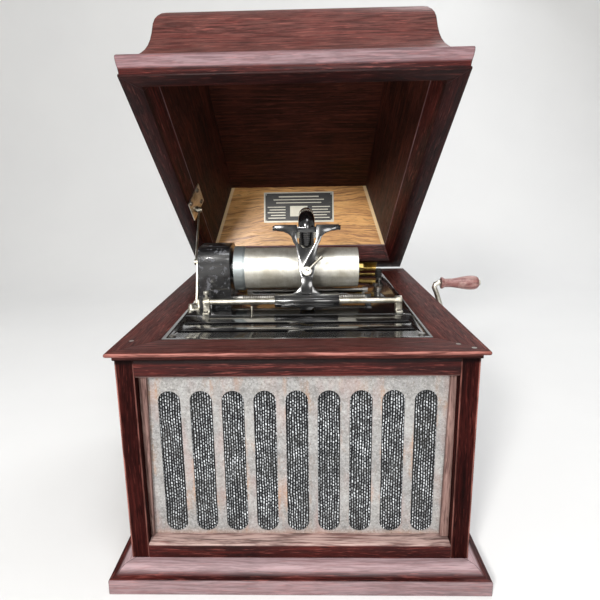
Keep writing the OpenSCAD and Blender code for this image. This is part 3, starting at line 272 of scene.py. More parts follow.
def makeGoldenOak():
    # flat sawn oak: wavy dark veins and short pores that run across the panel, pale edges
    s = Shader("goldenOak", Coat_Roughness=0.25)
    p = s.place(True)
    x, y, z = s.parts(p)
    flow = s.noise(s.vector(x * 8, y * 30, z * 17), 1.0, 3.0, 0.5)
    level = z + (flow - 0.5) * 0.030 + x * x * 0.5
    figure = s.noise(s.vector(x * 12, y * 20, level * 190), 1.0, 6.0, 0.66)
    vein = s.noise(s.vector(x * 15, y * 60, level * 520), 1.0, 3.0, 0.7).spread(0.54, 0.62)
    fleck = s.noise(s.vector(x * 75, y * 300, level * 1300), 1.0, 2.0, 0.6).spread(0.55, 0.68)
    colour = s.ramp(figure, [(0.30, srgb(*oakPanel["dark"])), (0.48, srgb(*oakPanel["base"])),
                             (0.72, srgb(*oakPanel["light"]))])
    colour = s.mix(vein * 0.85, colour, srgb(*oakPanel["dark"]))
    colour = s.mix(fleck * 0.55, colour, srgb(*oakPanel["fleck"]))
    side = lid["halfWidth"] - oakPanel["inset"] - z * lid["leanSide"]
    edge = (abs(x) - side + oakPanel["edgeWidth"]).spread(0.0, 0.0012)
    colour = s.mix(edge * 0.75, colour, srgb(*oakPanel["edge"]))
    height = fleck * -0.7 + figure * 0.3
    return s.finish(Base_Color=colour, Roughness=0.36 + fleck * 0.2, Coat_Weight=0.25,
                    Normal=s.bump(height, 0.3, 0.00025))


# ---- cloth and sheet metal
cloth = {"halfWidth": 0.1355, "low": 0.0325, "high": 0.205, "front": -0.1724, "thick": 0.0005,
         "slack": 0.0005, "hem": 0.01, "columnPitch": 0.00222, "dashPitch": 0.0033, "threadPitch": 0.00068,
         "pull": 0.0042, "sag": 0.0050, "shadowFrom": 0.168, "black": (9, 11, 14), "white": (240, 245, 249),
         "grey": (120, 124, 128)}


def makeCloth():
    # black open weave with uneven columns of white dashes, every second column half a dash lower
    s = Shader("grilleCloth", Roughness=0.92, Specular_IOR_Level=0.2, Sheen_Weight=0.1)
    p = s.place()
    x, y, z = s.parts(p)
    pull = s.noise(s.stretched(p, (76, 76, 34)), 1.0, 4.0, 0.66) - 0.5
    across = (x + pull * cloth["pull"]) / cloth["columnPitch"]
    column = s.add("ShaderNodeMath", {"operation": "FLOOR"}, {0: across})
    odd = (column * 0.5).fraction().above(0.25)
    sag = s.noise(p, 60, 4.0, 0.66) - 0.5
    jog = s.add("ShaderNodeTexWhiteNoise", {"noise_dimensions": "1D"}, {"W": column})
    down = (z + sag * cloth["sag"]) / cloth["dashPitch"] + odd * 0.5 + jog * 0.3
    row = s.add("ShaderNodeMath", {"operation": "FLOOR"}, {0: down})
    each = s.add("ShaderNodeTexWhiteNoise", {"noise_dimensions": "2D"},
                 {"Vector": s.vector(column, row, 0.0)})
    slant = (each - 0.5) * 0.22
    inColumn = abs(across.fraction() - 0.5 + slant * (down.fraction() - 0.5))
    inDash = abs(down.fraction() - 0.5)
    fine = s.noise(p, 1100, 2.0, 0.6)
    run = s.noise(s.stretched(p, (130, 130, 60)), 1.0, 3.0, 0.7)
    width = 0.10 + each * 0.10 + (fine - 0.5) * 0.14
    thread = inColumn.spread(width + 0.07, width - 0.05) * inDash.spread(0.30 + run * 0.2, 0.16 + run * 0.2)
    bright = (0.42 + each * 0.7) * (run.spread(0.25, 0.6) * 0.5 + 0.5)
    warp = (x * (6.2832 / cloth["threadPitch"])).wave() * 0.5 + 0.5
    weft = (z * (6.2832 / cloth["threadPitch"])).wave() * 0.5 + 0.5
    weave = warp * weft
    dust = s.noise(p, 34, 4.0, 0.6).spread(0.40, 0.75)
    colour = s.mix(weave * 0.35, srgb(*cloth["black"]), srgb(40, 42, 46))
    colour = s.mix(thread * bright * (0.7 + fine * 0.4).clipped(), colour,
                   s.mix(dust * 0.5, srgb(*cloth["white"]), srgb(*cloth["grey"])))
    colour = s.mix(dust * 0.08, colour, srgb(120, 116, 106))
    colour = s.mix((z - cloth["shadowFrom"]).spread(0.0, 0.014) * 0.55, colour, srgb(8, 9, 10))
    return s.finish(Base_Color=colour, Normal=s.bump(weave + thread * 1.4, 0.7, 0.0003))


sheetMetal = {"pitch": 0.0283, "slotRadius": 0.010, "low": 0.040,
              "pale": (160, 159, 156), "middle": (140, 138, 136), "dull": (120, 118, 117),
              "orange": (184, 130, 84), "pink": (168, 132, 126), "brown": (104, 70, 52)}


def makeSheetMetal():
    # dull plated sheet: faint spangle, fine speckle and rust that bleeds from the slots
    s = Shader("dullZinc")
    p = s.place()
    x, y, z = s.parts(p)
    spangle = s.parts(s.add("ShaderNodeTexVoronoi", {}, {"Vector": p, "Scale": 210.0}, 1))[0]
    blotch = s.noise(p, 24, 6.0, 0.72)
    fine = s.noise(p, 460, 5.0, 0.8)
    away = abs((x / sheetMetal["pitch"] + 0.5).fraction() - 0.5) * sheetMetal["pitch"]
    away = away - sheetMetal["slotRadius"]
    run = s.noise(s.stretched(p, (70, 70, 20)), 1.0, 4.0, 0.65)
    rim = (0.0034 - abs(away)).spread(0.0, 0.0034)
    base = s.ramp(blotch, [(0.30, srgb(*sheetMetal["dull"])), (0.50, srgb(*sheetMetal["middle"])),
                           (0.68, srgb(*sheetMetal["pale"]))])
    base = s.mix(spangle * 0.22, base, srgb(200, 202, 204))
    base = s.mix(fine.spread(0.52, 0.66) * 0.62, base, srgb(84, 82, 80))
    base = s.mix(fine.spread(0.48, 0.36) * 0.42, base, srgb(212, 211, 208))
    orange = run.spread(0.50, 0.74) * (0.45 + rim * 0.55) * fine.spread(0.25, 0.6) * 0.8
    pink = s.noise(s.stretched(p, (40, 40, 14)), 1.0, 4.0, 0.6).spread(0.46, 0.70)
    low = (sheetMetal["low"] + 0.004 - z).spread(0.0, 0.010)
    colour = s.mix(pink * 0.38, base, srgb(*sheetMetal["pink"]))
    colour = s.mix(low * 0.5, colour, srgb(186, 140, 116))
    colour = s.mix(orange * 0.85, colour, srgb(*sheetMetal["orange"]))
    spot = s.noise(p, 190, 2.0, 0.8).spread(0.68, 0.74)
    colour = s.mix(spot * 0.6, colour, srgb(*sheetMetal["brown"]))
    red = s.noise(p, 330, 2.0, 0.8).spread(0.73, 0.77) * s.noise(p, 18, 2.0).spread(0.55, 0.62)
    colour = s.mix(red * 0.8, colour, srgb(150, 40, 36))
    return s.finish(Base_Color=colour, Metallic=0.12, Roughness=0.55 + fine * 0.15 + orange * 0.2,
                    Normal=s.bump(fine * 0.6 + blotch, 0.3, 0.0004))


# ---- black finishes
def makeEnamel(name, look):
    # glossy black over iron, with dust, small chips and rubbed brown spots
    s = Shader(name, Specular_IOR_Level=0.55, Coat_Roughness=look.get("coatRough", 0.08))
    p = s.place()
    cloud = s.noise(p, look["cloud"], 5.0, 0.65)
    fine = s.noise(p, 700, 3.0, 0.7)
    scratch = s.noise(s.stretched(p, (30, 1100, 1100)), 1.0, 2.0, 0.6).spread(0.60, 0.70)
    chip = s.noise(p, look["chipSize"], 4.0, 0.75).spread(look["chipCut"], look["chipCut"] + 0.03)
    colour = s.mix(cloud, srgb(*look["dark"]), srgb(*look["light"]))
    colour = s.mix(fine.spread(0.55, 0.75) * look["dust"], colour, srgb(112, 106, 96))
    colour = s.mix(scratch * 0.18, colour, srgb(120, 112, 98))
    colour = s.mix(chip * 0.85, colour, srgb(*look["bare"]))
    height = fine * look["grain"] + cloud * look["lump"] - chip * 0.8
    return s.finish(Base_Color=colour, Roughness=look["rough"] + cloud * 0.16 + chip * 0.3 + fine * 0.05,
                    Coat_Weight=look["coat"] * (1 - chip), Normal=s.bump(height, look["bump"], 0.0004))


plateEnamel = {"cloud": 16, "chipSize": 95, "chipCut": 0.70, "dark": (5, 5, 6), "light": (14, 14, 16),
               "bare": (104, 88, 70), "dust": 0.12, "rough": 0.09, "coat": 0.5, "coatRough": 0.04,
               "grain": 0.04, "lump": 0.2, "bump": 0.14}
castEnamel = {"cloud": 40, "chipSize": 130, "chipCut": 0.68, "dark": (4, 4, 5), "light": (12, 12, 14),
              "bare": (120, 104, 88), "dust": 0.08, "rough": 0.10, "coat": 0.7, "coatRough": 0.05,
              "grain": 0.2, "lump": 0.7, "bump": 0.45}
coverEnamel = {"cloud": 60, "chipSize": 150, "chipCut": 0.565, "dark": (7, 7, 8), "light": (20, 20, 23),
               "bare": (96, 97, 102), "dust": 0.12, "rough": 0.24, "coat": 0.5, "grain": 0.8,
               "lump": 0.9, "bump": 0.6}
ironEnamel = {"cloud": 22, "chipSize": 70, "chipCut": 0.64, "dark": (20, 20, 20), "light": (44, 43, 41),
              "bare": (96, 76, 58), "dust": 0.5, "rough": 0.5, "coat": 0.0, "grain": 0.7,
              "lump": 0.6, "bump": 0.5}


# ---- bright metals
def makeMetal(name, look):
    # turned or drawn metal: fine tool lines, cloudy tarnish and pin-point rust
    s = Shader(name)
    p = s.place()
    lines = s.noise(s.stretched(p, look["lines"]), 1.0, 3.0, 0.6)
    cloud = s.noise(p, look["cloud"], 5.0, 0.65)
    pit = s.noise(p, look["pitSize"], 3.0, 0.75).spread(look["pitCut"], look["pitCut"] + 0.05)
    colour = s.mix(cloud.spread(0.35, 0.70), srgb(*look["bright"]), srgb(*look["dull"]))
    colour = s.mix(lines.spread(0.45, 0.8) * 0.35, colour, srgb(*look["dull"]))
    colour = s.mix(pit * 0.85, colour, srgb(*look["rust"]))
    if "collarEnd" in look:
        collar = s.parts(p)[0].below(look["collarEnd"])
        colour = s.mix(collar * 0.85, colour, srgb(*look["collar"]))
    return s.finish(Base_Color=colour, Metallic=(1.0 - pit * 0.7) * look.get("metal", 1.0),
                    Roughness=look["rough"] + cloud * look["cloudRough"] + lines * 0.06 + pit * 0.3,
                    Normal=s.bump(lines * 0.5 + cloud * 0.4 - pit * 0.7, look["bump"], 0.0002))


nickelLook = {"lines": (60, 900, 900), "cloud": 60, "pitSize": 260, "pitCut": 0.66, "bright": (222, 219, 208),
              "dull": (150, 144, 128), "rust": (92, 68, 48), "rough": 0.20, "cloudRough": 0.28, "bump": 0.25}
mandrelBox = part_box("mandrel")
drumLook = {"lines": (900, 60, 60), "cloud": 40, "pitSize": 240, "pitCut": 0.70, "bright": (240, 238, 228),
            "dull": (198, 192, 176), "rust": (120, 100, 76), "rough": 0.30, "cloudRough": 0.16, "bump": 0.2,
            "metal": 0.8, "collar": (150, 160, 164),
            "collarEnd": mandrelBox[0][0] + (mandrelBox[1][0] - mandrelBox[0][0]) * 0.088}
steelLook = {"lines": (700, 700, 700), "cloud": 34, "pitSize": 150, "pitCut": 0.62, "bright": (168, 166, 162),
             "dull": (104, 100, 94), "rust": (88, 58, 40), "rough": 0.30, "cloudRough": 0.22, "bump": 0.3}
springLook = dict(steelLook, bright=(128, 134, 146), dull=(78, 82, 92), rough=0.26)
brassLook = {"lines": (300, 800, 800), "cloud": 70, "pitSize": 240, "pitCut": 0.66, "bright": (206, 182, 112),
             "dull": (132, 110, 62), "rust": (70, 56, 36), "rough": 0.24, "cloudRough": 0.25, "bump": 0.25}
bronzeLook = dict(brassLook, bright=(150, 116, 88), dull=(92, 66, 50), rust=(52, 40, 32), rough=0.28)


gripLook = {"dark": (82, 34, 32), "mid": (128, 78, 74), "light": (166, 122, 116), "bare": (196, 166, 158)}


def makeGripWood():
    # turned handle, its red varnish rubbed pink and thin
    s = Shader("gripWood", Coat_Roughness=0.3)
    p = s.place()
    x, y, z = s.parts(p)
    tone = s.noise(s.vector(x * 26, y * 330, z * 330), 1.0, 4.0, 0.6)
    worn = s.noise(p, 70, 4.0, 0.7).spread(0.40, 0.66)
    pore = s.noise(s.vector(x * 110, y * 1900, z * 1900), 1.0, 2.0, 0.6).spread(0.56, 0.68)
    colour = s.ramp(tone, [(0.30, srgb(*gripLook["dark"])), (0.52, srgb(*gripLook["mid"])),
                           (0.76, srgb(*gripLook["light"]))])
    colour = s.mix(worn * 0.45, colour, srgb(*gripLook["bare"]))
    colour = s.mix(pore * 0.5, colour, srgb(*gripLook["dark"]))
    return s.finish(Base_Color=colour, Roughness=0.34 + worn * 0.25, Coat_Weight=0.25,
                    Normal=s.bump(pore * -0.7 + tone * 0.3, 0.3, 0.0002))


# bars: middle height from 0 to 1, nearest and farthest distance from the middle, half height
plateArt = {"halfWidth": 0.0525, "low": 0.0562, "high": 0.0995, "border": 0.0021, "bars": [
    (0.84, 0.0, 0.030, 0.020), (0.74, 0.0, 0.038, 0.014), (0.64, 0.0, 0.034, 0.014), (0.36, 0.0, 0.013, 0.17),
    (0.50, 0.020, 0.047, 0.014), (0.41, 0.020, 0.044, 0.014), (0.32, 0.020, 0.047, 0.014),
    (0.23, 0.020, 0.042, 0.014), (0.14, 0.020, 0.046, 0.014)]}


def makePlateBlack():
    # lacquered plate with a bare metal border and plain ruled bars, scuffed and a little faded
    s = Shader("plateBlack", Coat_Roughness=0.2)
    p = s.place(True)
    x, y, z = s.parts(p)
    side, level = abs(x), (z - plateArt["low"]) / (plateArt["high"] - plateArt["low"])
    bare = (side - plateArt["halfWidth"] + plateArt["border"]).above(0.0).most(abs(level - 0.5).above(0.455))
    for middle, inner, outer, half in plateArt["bars"]:
        bare = bare.most(side.above(inner) * side.below(outer) * abs(level - middle).below(half))
    cloud = s.noise(p, 60, 5.0, 0.7)
    scuff = s.noise(s.stretched(p, (60, 500, 900)), 1.0, 3.0, 0.7).spread(0.58, 0.72)
    colour = s.mix(cloud, srgb(14, 14, 15), srgb(38, 37, 36))
    colour = s.mix(scuff * 0.3, colour, srgb(128, 124, 114))
    metal = s.mix(cloud, srgb(214, 210, 196), srgb(168, 164, 150))
    colour = s.mix(bare * (0.95 - scuff * 0.3), colour, metal)
    return s.finish(Base_Color=colour, Roughness=0.3 + cloud * 0.2, Coat_Weight=0.3, Metallic=bare * 0.4,
                    Normal=s.bump(cloud - bare * 0.8, 0.25, 0.0002))


def makeMica():
    s = Shader("mica", Specular_IOR_Level=0.6)
    p = s.place()
    cloud = s.noise(p, 130, 4.0, 0.6)
    flake = s.noise(s.stretched(p, (300, 300, 60)), 1.0, 2.0, 0.6).spread(0.6, 0.7)
    colour = s.mix(cloud, srgb(176, 160, 126), srgb(214, 204, 178))
    colour = s.mix(flake * 0.4, colour, srgb(236, 230, 212))
    return s.finish(Base_Color=colour, Roughness=0.16 + cloud * 0.2, Normal=s.bump(flake, 0.2, 0.0001))


# ---- where each wooden part is rubbed
def outside(x, y, halfWidth, halfDepth, band):
    # how far a place lies outside a rectangle that is drawn in by the band
    return (abs(x) - halfWidth + band).most(abs(y) - halfDepth + band)


def deckWearAndHighlight(s, x, y, z):
    # rubbed edges and light scuffs all over; the upper part of the outer edge is painted lighter as a
    # highlight line
    out = outside(x, y, case["deckWidth"] / 2, case["deckDepth"] / 2, 0.0014)
    upper = (z - case["deckTop"] + 0.0036).spread(0.0, 0.0024)
    return out.spread(0.0, 0.0012) * (0.35 + upper * 0.65) + 0.15


def deckShade(s, x, y, z):
    # painted shade under the overhang
    return (case["deckTop"] - 0.0050 - z).spread(0.0, 0.0030) * 0.85


def caseShade(s, x, y, z):
    # painted shadow of the overhang on the case just below it
    return (z - case["deckShadowFrom"]).spread(0.0, 0.0030) * 0.9


def baseWearAndHighlight(s, x, y, z):
    # rubbed outer edges; the ledge top is painted pale, partly dust and partly a painted highlight from above
    out = outside(x, y, case["baseWidth"] / 2, case["baseDepth"] / 2, 0.0012)
    ledge = (z - case["ledge"]).spread(0.0, 0.0060)
    return out.spread(0.0, 0.0012) * 0.5 + ledge * 0.75


def postWear(s, x, y, z):
    corner = (abs(x) - case["postOuterX"] + 0.0022).least(abs(y) - case["postOuterY"] + 0.0022)
    inner = (case["postInnerX"] + 0.0012 - abs(x)).spread(0.0, 0.0012) * (y - case["postFront"]).below(0.0)
    return corner.spread(0.0002, 0.0016).most(inner * 0.7)


def railWearAndHighlight(s, x, y, z):
    # the upper face of the lower rail, behind the grille's lower edge, is bare and dusty, and painted paler
    # still as a highlight
    floor = (z - case["sillLow"]).spread(0.0, 0.0012) * z.below(case["sillHigh"])
    edge = abs(z - case["railLow"]).spread(0.0016, 0.0002)
    return (floor * 0.95).most(edge * 0.5)


def paintedRimHighlight(s, x, y, z):
    # painted highlight: a pale band on the rounded outside, broken by scuff streaks, and a thinner painted
    # highlight line along the upper edge
    flare = lid["flare"] * (1 - z / lid["rimHeight"]).clipped()
    out = outside(x, y - lid["middleY"], lid["halfWidth"] + flare, lid["halfDepth"] + flare, 0.0022)
    band = abs(z - lid["highlightBandMiddle"]).spread(0.0110, 0.0030)
    line = abs(z - lid["rimHeight"] + 0.0008).spread(0.0012, 0.0002)
    return out.spread(0.0, 0.0016) * band * 0.46 + line * 0.5


def rimShade(s, x, y, z):
    return (0.0034 - z).spread(0.0, 0.0010) * 0.6


def hoodWear(s, x, y, z):
    return (z - lid["hoodTop"]).spread(0.0, 0.0024) * 0.5 + 0.24


frameOfDeck = (case["deckWidth"] / 2, case["deckDepth"] / 2, 0.0)
frameOfBase = (case["baseWidth"] / 2, case["baseDepth"] / 2, 0.0)
frameOfLid = (lid["halfWidth"], lid["halfDepth"], lid["middleY"])

looks = {
    "deckWood": makeRedWood("deckWood", boards=frameOfDeck, wearAndHighlightMask=deckWearAndHighlight, shade=deckShade, look=deckLook),
    "baseWood": makeRedWood("baseWood", boards=frameOfBase, wearAndHighlightMask=baseWearAndHighlight, look=baseLook),
    "postWood": makeRedWood("postWood", "z", wearAndHighlightMask=postWear, shade=caseShade, look=postLook),
    "railWood": makeRedWood("railWood", None, wearAndHighlightMask=railWearAndHighlight, shade=caseShade, look=railLook),
    "sideWood": makeRedWood("sideWood", 1),
    "rimWood": makeRedWood("rimWood", boards=frameOfLid, onLid=True, wearAndHighlightMask=paintedRimHighlight, shade=rimShade,
                           look=rimLook),
    "hoodWood": makeRedWood("hoodWood", boards=frameOfLid, onLid=True, wearAndHighlightMask=hoodWear),
    "topWood": makeRedWood("topWood", None, onLid=True, wearAndHighlightMask=hoodWear),
    "innerWood": makeRedWood("innerWood", None, onLid=True, look=darkWood),
    "innerSideWood": makeRedWood("innerSideWood", 1, onLid=True, look=darkWood),
    "stripWood": makeRedWood("stripWood", "z", look=stripLook),
    "plainWood": makeRedWood("plainWood", None, look=plainWood),
    "goldenOak": makeGoldenOak(),
    "cloth": makeCloth(),
    "zinc": makeSheetMetal(),
    "plateEnamel": makeEnamel("plateEnamel", plateEnamel),
    "castEnamel": makeEnamel("castEnamel", castEnamel),
    "coverEnamel": makeEnamel("coverEnamel", coverEnamel),
    "ironEnamel": makeEnamel("ironEnamel", ironEnamel),
    "nickel": makeMetal("nickel", nickelLook),
    "drumNickel": makeMetal("drumNickel", drumLook),
    "steel": makeMetal("steel", steelLook),
    "springSteel": makeMetal("springSteel", springLook),
    "brass": makeMetal("brass", brassLook),
    "bronze": makeMetal("bronze", bronzeLook),
    "gripWood": makeGripWood(),
    "plateBlack": makePlateBlack(),
    "mica": makeMica(),
}
print("materials made:", len(looks))

wears = {
    "deckWood": ["deck_frame"], "baseWood": ["base_moulding"], "postWood": ["corner_posts"],
    "railWood": ["front_rails", "back_panel"], "sideWood": ["side_panels"], "rimWood": ["lid_rim"],
    "hoodWood": ["lid_walls"], "topWood": ["lid_top_board"],
    "innerWood": ["lid_front_lining", "lid_top_lining"], "innerSideWood": ["lid_side_linings"],
    "stripWood": ["grille_strips"], "plainWood": ["bottom_board", "plate_bearers"],
    "goldenOak": ["lid_rear_panel"], "zinc": ["grille_sheet"], "plateEnamel": ["bedplate"],
    "castEnamel": ["carriage", "shaft_bearings", "horn_elbow"], "coverEnamel": ["gear_cover"],
    "ironEnamel": ["motor_frame", "horn", "horn_post", "stop_knob"],
    "nickel": ["guide_rod", "rod_brackets", "lift_lever", "reproducer", "crank", "stay_foot", "stay_strap",
               "stay_rod", "stay_bracket"],
    "drumNickel": ["mandrel"],
    "steel": ["machine_screws", "rear_rail", "mandrel_shaft", "feed_screw", "centre_shaft",
              "governor_shaft", "ratchet_wheel", "ratchet_pawl", "speed_screw", "lid_fasteners"],
    "springSteel": ["mainspring"],
    "brass": ["shaft_nut", "idler_gear", "spring_barrel", "governor_fittings", "half_nut",
              "hinges_fixed", "hinges_lid"],
    "bronze": ["crank_escutcheon"], "gripWood": ["crank_grip"],
    "plateBlack": ["data_plate"], "mica": ["diaphragm"], "cloth": ["grille_cloth"],
}
lookOf = {node: looks[key] for key, names in wears.items() for node in names}
for name, piece in nodes.items():
    for place in piece.material_slots:
        place.material = lookOf[name]
    if not piece.material_slots:
        piece.data.materials.append(lookOf[name])


# ---- finished copies of CAD pieces, with softened edges
def clearSelection():
    if bpy.context.object and bpy.context.object.mode != "OBJECT":
        bpy.ops.object.mode_set(mode="OBJECT")
    bpy.ops.object.select_all(action="DESELECT")


def choose(piece):
    clearSelection()
    piece.select_set(True)
    bpy.context.view_layer.objects.active = piece


bodyOf = {n: body for body, names in frame["record"]["behaviour"]["bodies"].items() for n in names}


softening = {"join": 0.00001, "flat": 0.6, "segments": 2, "angle": 32}


def softened(node, width):
    # copies a node, joins its loose triangles, rounds its edges and takes its place
    source = nodes[node]
    piece = source.copy()
    piece.data = source.data.copy()
    piece.name = node + "_finished"
    piece.parent = None
    piece.matrix_world = Matrix.Identity(4)
    bpy.context.collection.objects.link(piece)
    piece.hide_render = piece.hide_viewport = False
    choose(piece)
    bpy.ops.object.mode_set(mode="EDIT")
    bpy.ops.mesh.select_all(action="SELECT")
    bpy.ops.mesh.remove_doubles(threshold=softening["join"])
    bpy.ops.mesh.dissolve_limited(angle_limit=math.radians(softening["flat"]))
    bpy.ops.object.mode_set(mode="OBJECT")
    bevel = piece.modifiers.new("edges", "BEVEL")
    bevel.width, bevel.segments = width, softening["segments"]
    bevel.limit_method, bevel.angle_limit = "ANGLE", math.radians(softening["angle"])
    bevel.miter_outer = "MITER_ARC"
    bevel.harden_normals = False
    bpy.ops.object.modifier_apply(modifier="edges")
    bpy.ops.object.shade_smooth_by_angle(angle=math.radians(softening["angle"]))
    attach(piece, bodyOf[node])
    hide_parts(node)
    return piece


softEdges = {
    "deck_frame": 0.0011, "base_moulding": 0.0012, "corner_posts": 0.0009, "side_panels": 0.0006,
    "back_panel": 0.0006, "front_rails": 0.0007, "grille_strips": 0.0007, "lid_rim": 0.0011,
    "lid_walls": 0.0008, "lid_top_board": 0.0010, "bedplate": 0.0005, "gear_cover": 0.0016,
    "carriage": 0.0006, "rod_brackets": 0.0005, "crank_grip": 0.0006, "crank": 0.0005,
    "lift_lever": 0.0003, "stop_knob": 0.0005, "horn_elbow": 0.0004, "stay_strap": 0.0003,
    "stay_foot": 0.0004, "shaft_bearings": 0.0006,
}
finished = {node: softened(node, width) for node, width in softEdges.items()}
print("pieces finished:", len(finished))


# ---- small shared steps for pieces modelled here
def asPiece(piece, name, body, material, smooth=35):
    choose(piece)
    bpy.ops.object.transform_apply(location=True, rotation=True, scale=True)
    piece.name = name
    piece.data.materials.clear()
    piece.data.materials.append(material)
    bpy.ops.object.shade_smooth_by_angle(angle=math.radians(smooth))
    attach(piece, body)
    return piece


def pickFaces(piece, test):
    # in edit mode, selects the faces whose centre and normal pass the test
    mesh = bmesh.from_edit_mesh(piece.data)
    for face in mesh.faces:
        face.select_set(test(face.calc_center_median(), face.normal))
    mesh.select_flush_mode()
    bmesh.update_edit_mesh(piece.data)


# ---- grille cloth, a woven sheet tacked behind the slots
def makeClothPiece():
    width, height = cloth["halfWidth"] * 2, cloth["high"] - cloth["low"]
    clearSelection()
    bpy.ops.mesh.primitive_grid_add(x_subdivisions=108, y_subdivisions=70, size=1.0)
    piece = bpy.context.object
    piece.scale = (width, height, 1)
    piece.rotation_euler = (math.radians(90), 0, 0)
    piece.location = (0, cloth["front"] + 0.0001, (cloth["low"] + cloth["high"]) / 2)
    bpy.ops.object.transform_apply(location=True, rotation=True, scale=True)
    for vertex in piece.data.vertices:
        x, z = vertex.co.x, vertex.co.z
        wave = 0.5 + 0.5 * math.sin(x * 37 + 1.3 * math.sin(z * 29))
        rooms = (cloth["halfWidth"] - abs(x), z - cloth["low"], cloth["high"] - z)
        inside = math.prod(max(0, min(1, room / cloth["hem"])) for room in rooms)
        vertex.co.y += cloth["slack"] * wave * inside
    choose(piece)
    thick = piece.modifiers.new("thickness", "SOLIDIFY")
    thick.thickness, thick.offset = cloth["thick"], -1
    bpy.ops.object.modifier_apply(modifier="thickness")
    bpy.ops.object.mode_set(mode="EDIT")
    bpy.ops.mesh.select_all(action="SELECT")
    bpy.ops.mesh.normals_make_consistent(inside=False)
    bpy.ops.object.mode_set(mode="OBJECT")
    asPiece(piece, "woven_cloth", "cabinet", looks["cloth"], 60)
    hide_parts("grille_cloth")
    return piece


makeClothPiece()
print("cloth made")


# ---- slotted wood screws that hold the deck frame to the case
# proud: how far the heads stand above the deck, less than the gap under the closed lid
deckScrews = {"radius": 0.0021, "height": 0.0009, "rim": 0.00022, "crown": 0.00016, "slot": 0.0005,
              "depth": 0.0004, "proud": 0.00024,
              "at": [(-0.146, -0.162, 25), (0.137, -0.178, 70), (0.147, -0.1885, 40),
                     (-0.146, 0.162, 110), (0.146, 0.162, 5)]}


def makeDeckScrew(x, y, turn):
    clearSelection()
    bpy.ops.mesh.primitive_cylinder_add(vertices=28, radius=deckScrews["radius"], depth=deckScrews["height"])
    piece = bpy.context.object
    top, half = deckScrews["height"] / 2, deckScrews["slot"] / 2
    crownTop = top + deckScrews["crown"]
    bpy.ops.object.mode_set(mode="EDIT")
    pickFaces(piece, lambda centre, normal: normal.z > 0.9)
    bpy.ops.mesh.inset(thickness=deckScrews["rim"], depth=deckScrews["crown"])
    for side in (-half, half):
        bpy.ops.mesh.select_all(action="SELECT")
        bpy.ops.mesh.bisect(plane_co=(0, side, 0), plane_no=(0, 1, 0))
    pickFaces(piece, lambda centre, normal: abs(centre.y) < half and centre.z > crownTop - 0.00006
              and normal.z > 0.99)
    bpy.ops.mesh.extrude_region_move(TRANSFORM_OT_translate={"value": (0, 0, -deckScrews["depth"])})
    bpy.ops.object.mode_set(mode="OBJECT")
    piece.rotation_euler = (0, 0, math.radians(turn))
    piece.location = (x, y, case["deckTop"] + deckScrews["proud"] - crownTop)
    return piece


screwHeads = [makeDeckScrew(*spot) for spot in deckScrews["at"]]
clearSelection()
for head in screwHeads:
    head.select_set(True)
bpy.context.view_layer.objects.active = screwHeads[0]
bpy.ops.object.join()
asPiece(bpy.context.object, "deck_screws", "cabinet", looks["steel"])
print("deck screws made")


# ---- floor, light and camera
clearSelection()
stageSize = {"width": 7.0, "front": -3.2, "back": 1.9, "height": 3.6, "bend": 0.9}
bpy.ops.mesh.primitive_plane_add(size=1.0)
floor = bpy.context.object
floor.scale = (stageSize["width"], stageSize["back"] - stageSize["front"], 1)
floor.location = (0, (stageSize["back"] + stageSize["front"]) / 2, -0.0002)
bpy.ops.object.transform_apply(location=True, rotation=True, scale=True)
bpy.ops.object.mode_set(mode="EDIT")
grid = bmesh.from_edit_mesh(floor.data)
for edge in grid.edges:
    edge.select_set(all(v.co.y > stageSize["back"] - 0.01 for v in edge.verts))
bmesh.update_edit_mesh(floor.data)
bpy.ops.mesh.extrude_region_move(TRANSFORM_OT_translate={"value": (0, 0, stageSize["height"])})
bpy.ops.object.mode_set(mode="OBJECT")
bend = floor.modifiers.new("bend", "BEVEL")
bend.width, bend.segments, bend.limit_method = stageSize["bend"], 18, "ANGLE"
bpy.ops.object.modifier_apply(modifier="bend")
bpy.ops.object.shade_smooth()
floor.name = "floor_sweep"
paper = Shader("paleFloor", Roughness=0.85, Specular_IOR_Level=0.15)
paperGrain = paper.noise(paper.place(), 3.0, 3.0)
paper.finish(Base_Color=paper.mix(paperGrain, srgb(226, 226, 226), srgb(234, 234, 233)))
floor.data.materials.append(paper.material)

world = bpy.context.scene.world or bpy.data.worlds.new("studio")
bpy.context.scene.world = world
world.use_nodes = True
world.node_tree.nodes["Background"].inputs[0].default_value = (0.86, 0.90, 0.95, 1)
world.node_tree.nodes["Background"].inputs[1].default_value = 0.28

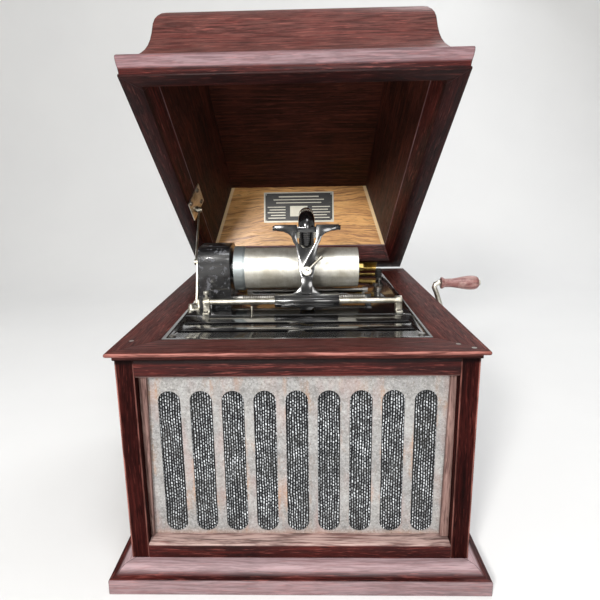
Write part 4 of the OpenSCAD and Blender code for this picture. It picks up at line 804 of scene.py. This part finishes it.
lamps = {
    "keyLamp": {"at": (-0.66, -1.86, 1.08), "aim": (0, 0, 0.24), "size": 0.34, "power": 40,
                "tint": (1, 0.98, 0.95)},
    "topLamp": {"at": (0.25, -1.0, 2.1), "aim": (0, -0.1, 0.2), "size": 0.9, "power": 20,
                "tint": (0.97, 0.98, 1)},
    "frontLamp": {"at": (0.5, -2.0, 0.75), "aim": (0, 0.05, 0.25), "size": 0.5, "power": 8,
                  "tint": (1, 0.99, 0.97)},
    "backLamp": {"at": (0.9, 1.3, 1.7), "aim": (0, 0.1, 0.3), "size": 0.9, "power": 13,
                 "tint": (0.95, 0.97, 1)},
}
for name, lamp in lamps.items():
    light = bpy.data.lights.new(name, "AREA")
    light.shape, light.size, light.energy, light.color = "DISK", lamp["size"], lamp["power"], lamp["tint"]
    holder = bpy.data.objects.new(name, light)
    holder.location = lamp["at"]
    holder.rotation_euler = (Vector(lamp["aim"]) - Vector(lamp["at"])).to_track_quat("-Z", "Y").to_euler()
    bpy.context.collection.objects.link(holder)

view = {"at": (0.00856, -0.6086, 0.3634), "down": 12.907, "yaw": -1.692, "roll": 0.98,
        "lens": 31.87, "shiftX": 0.0165, "shiftY": -0.0043}
yaw, down, roll = (math.radians(view[k]) for k in ("yaw", "down", "roll"))
forward = Vector((math.sin(yaw) * math.cos(down), math.cos(yaw) * math.cos(down), -math.sin(down)))
right = forward.cross(Vector((0, 0, 1))).normalized()
right = (right * math.cos(roll) + forward.cross(right) * math.sin(roll)).normalized()
up = right.cross(forward)
camera = bpy.data.objects.new("camera", bpy.data.cameras.new("camera"))
camera.matrix_world = Matrix((right, up, -forward)).transposed().to_4x4()
camera.location = view["at"]
camera.data.sensor_width, camera.data.lens = 36, view["lens"]
camera.data.shift_x, camera.data.shift_y = view["shiftX"], view["shiftY"]
camera.data.clip_start, camera.data.clip_end = 0.01, 30
bpy.context.collection.objects.link(camera)
bpy.context.scene.camera = camera
bpy.context.scene.view_settings.view_transform = "Standard"
print("stage set")
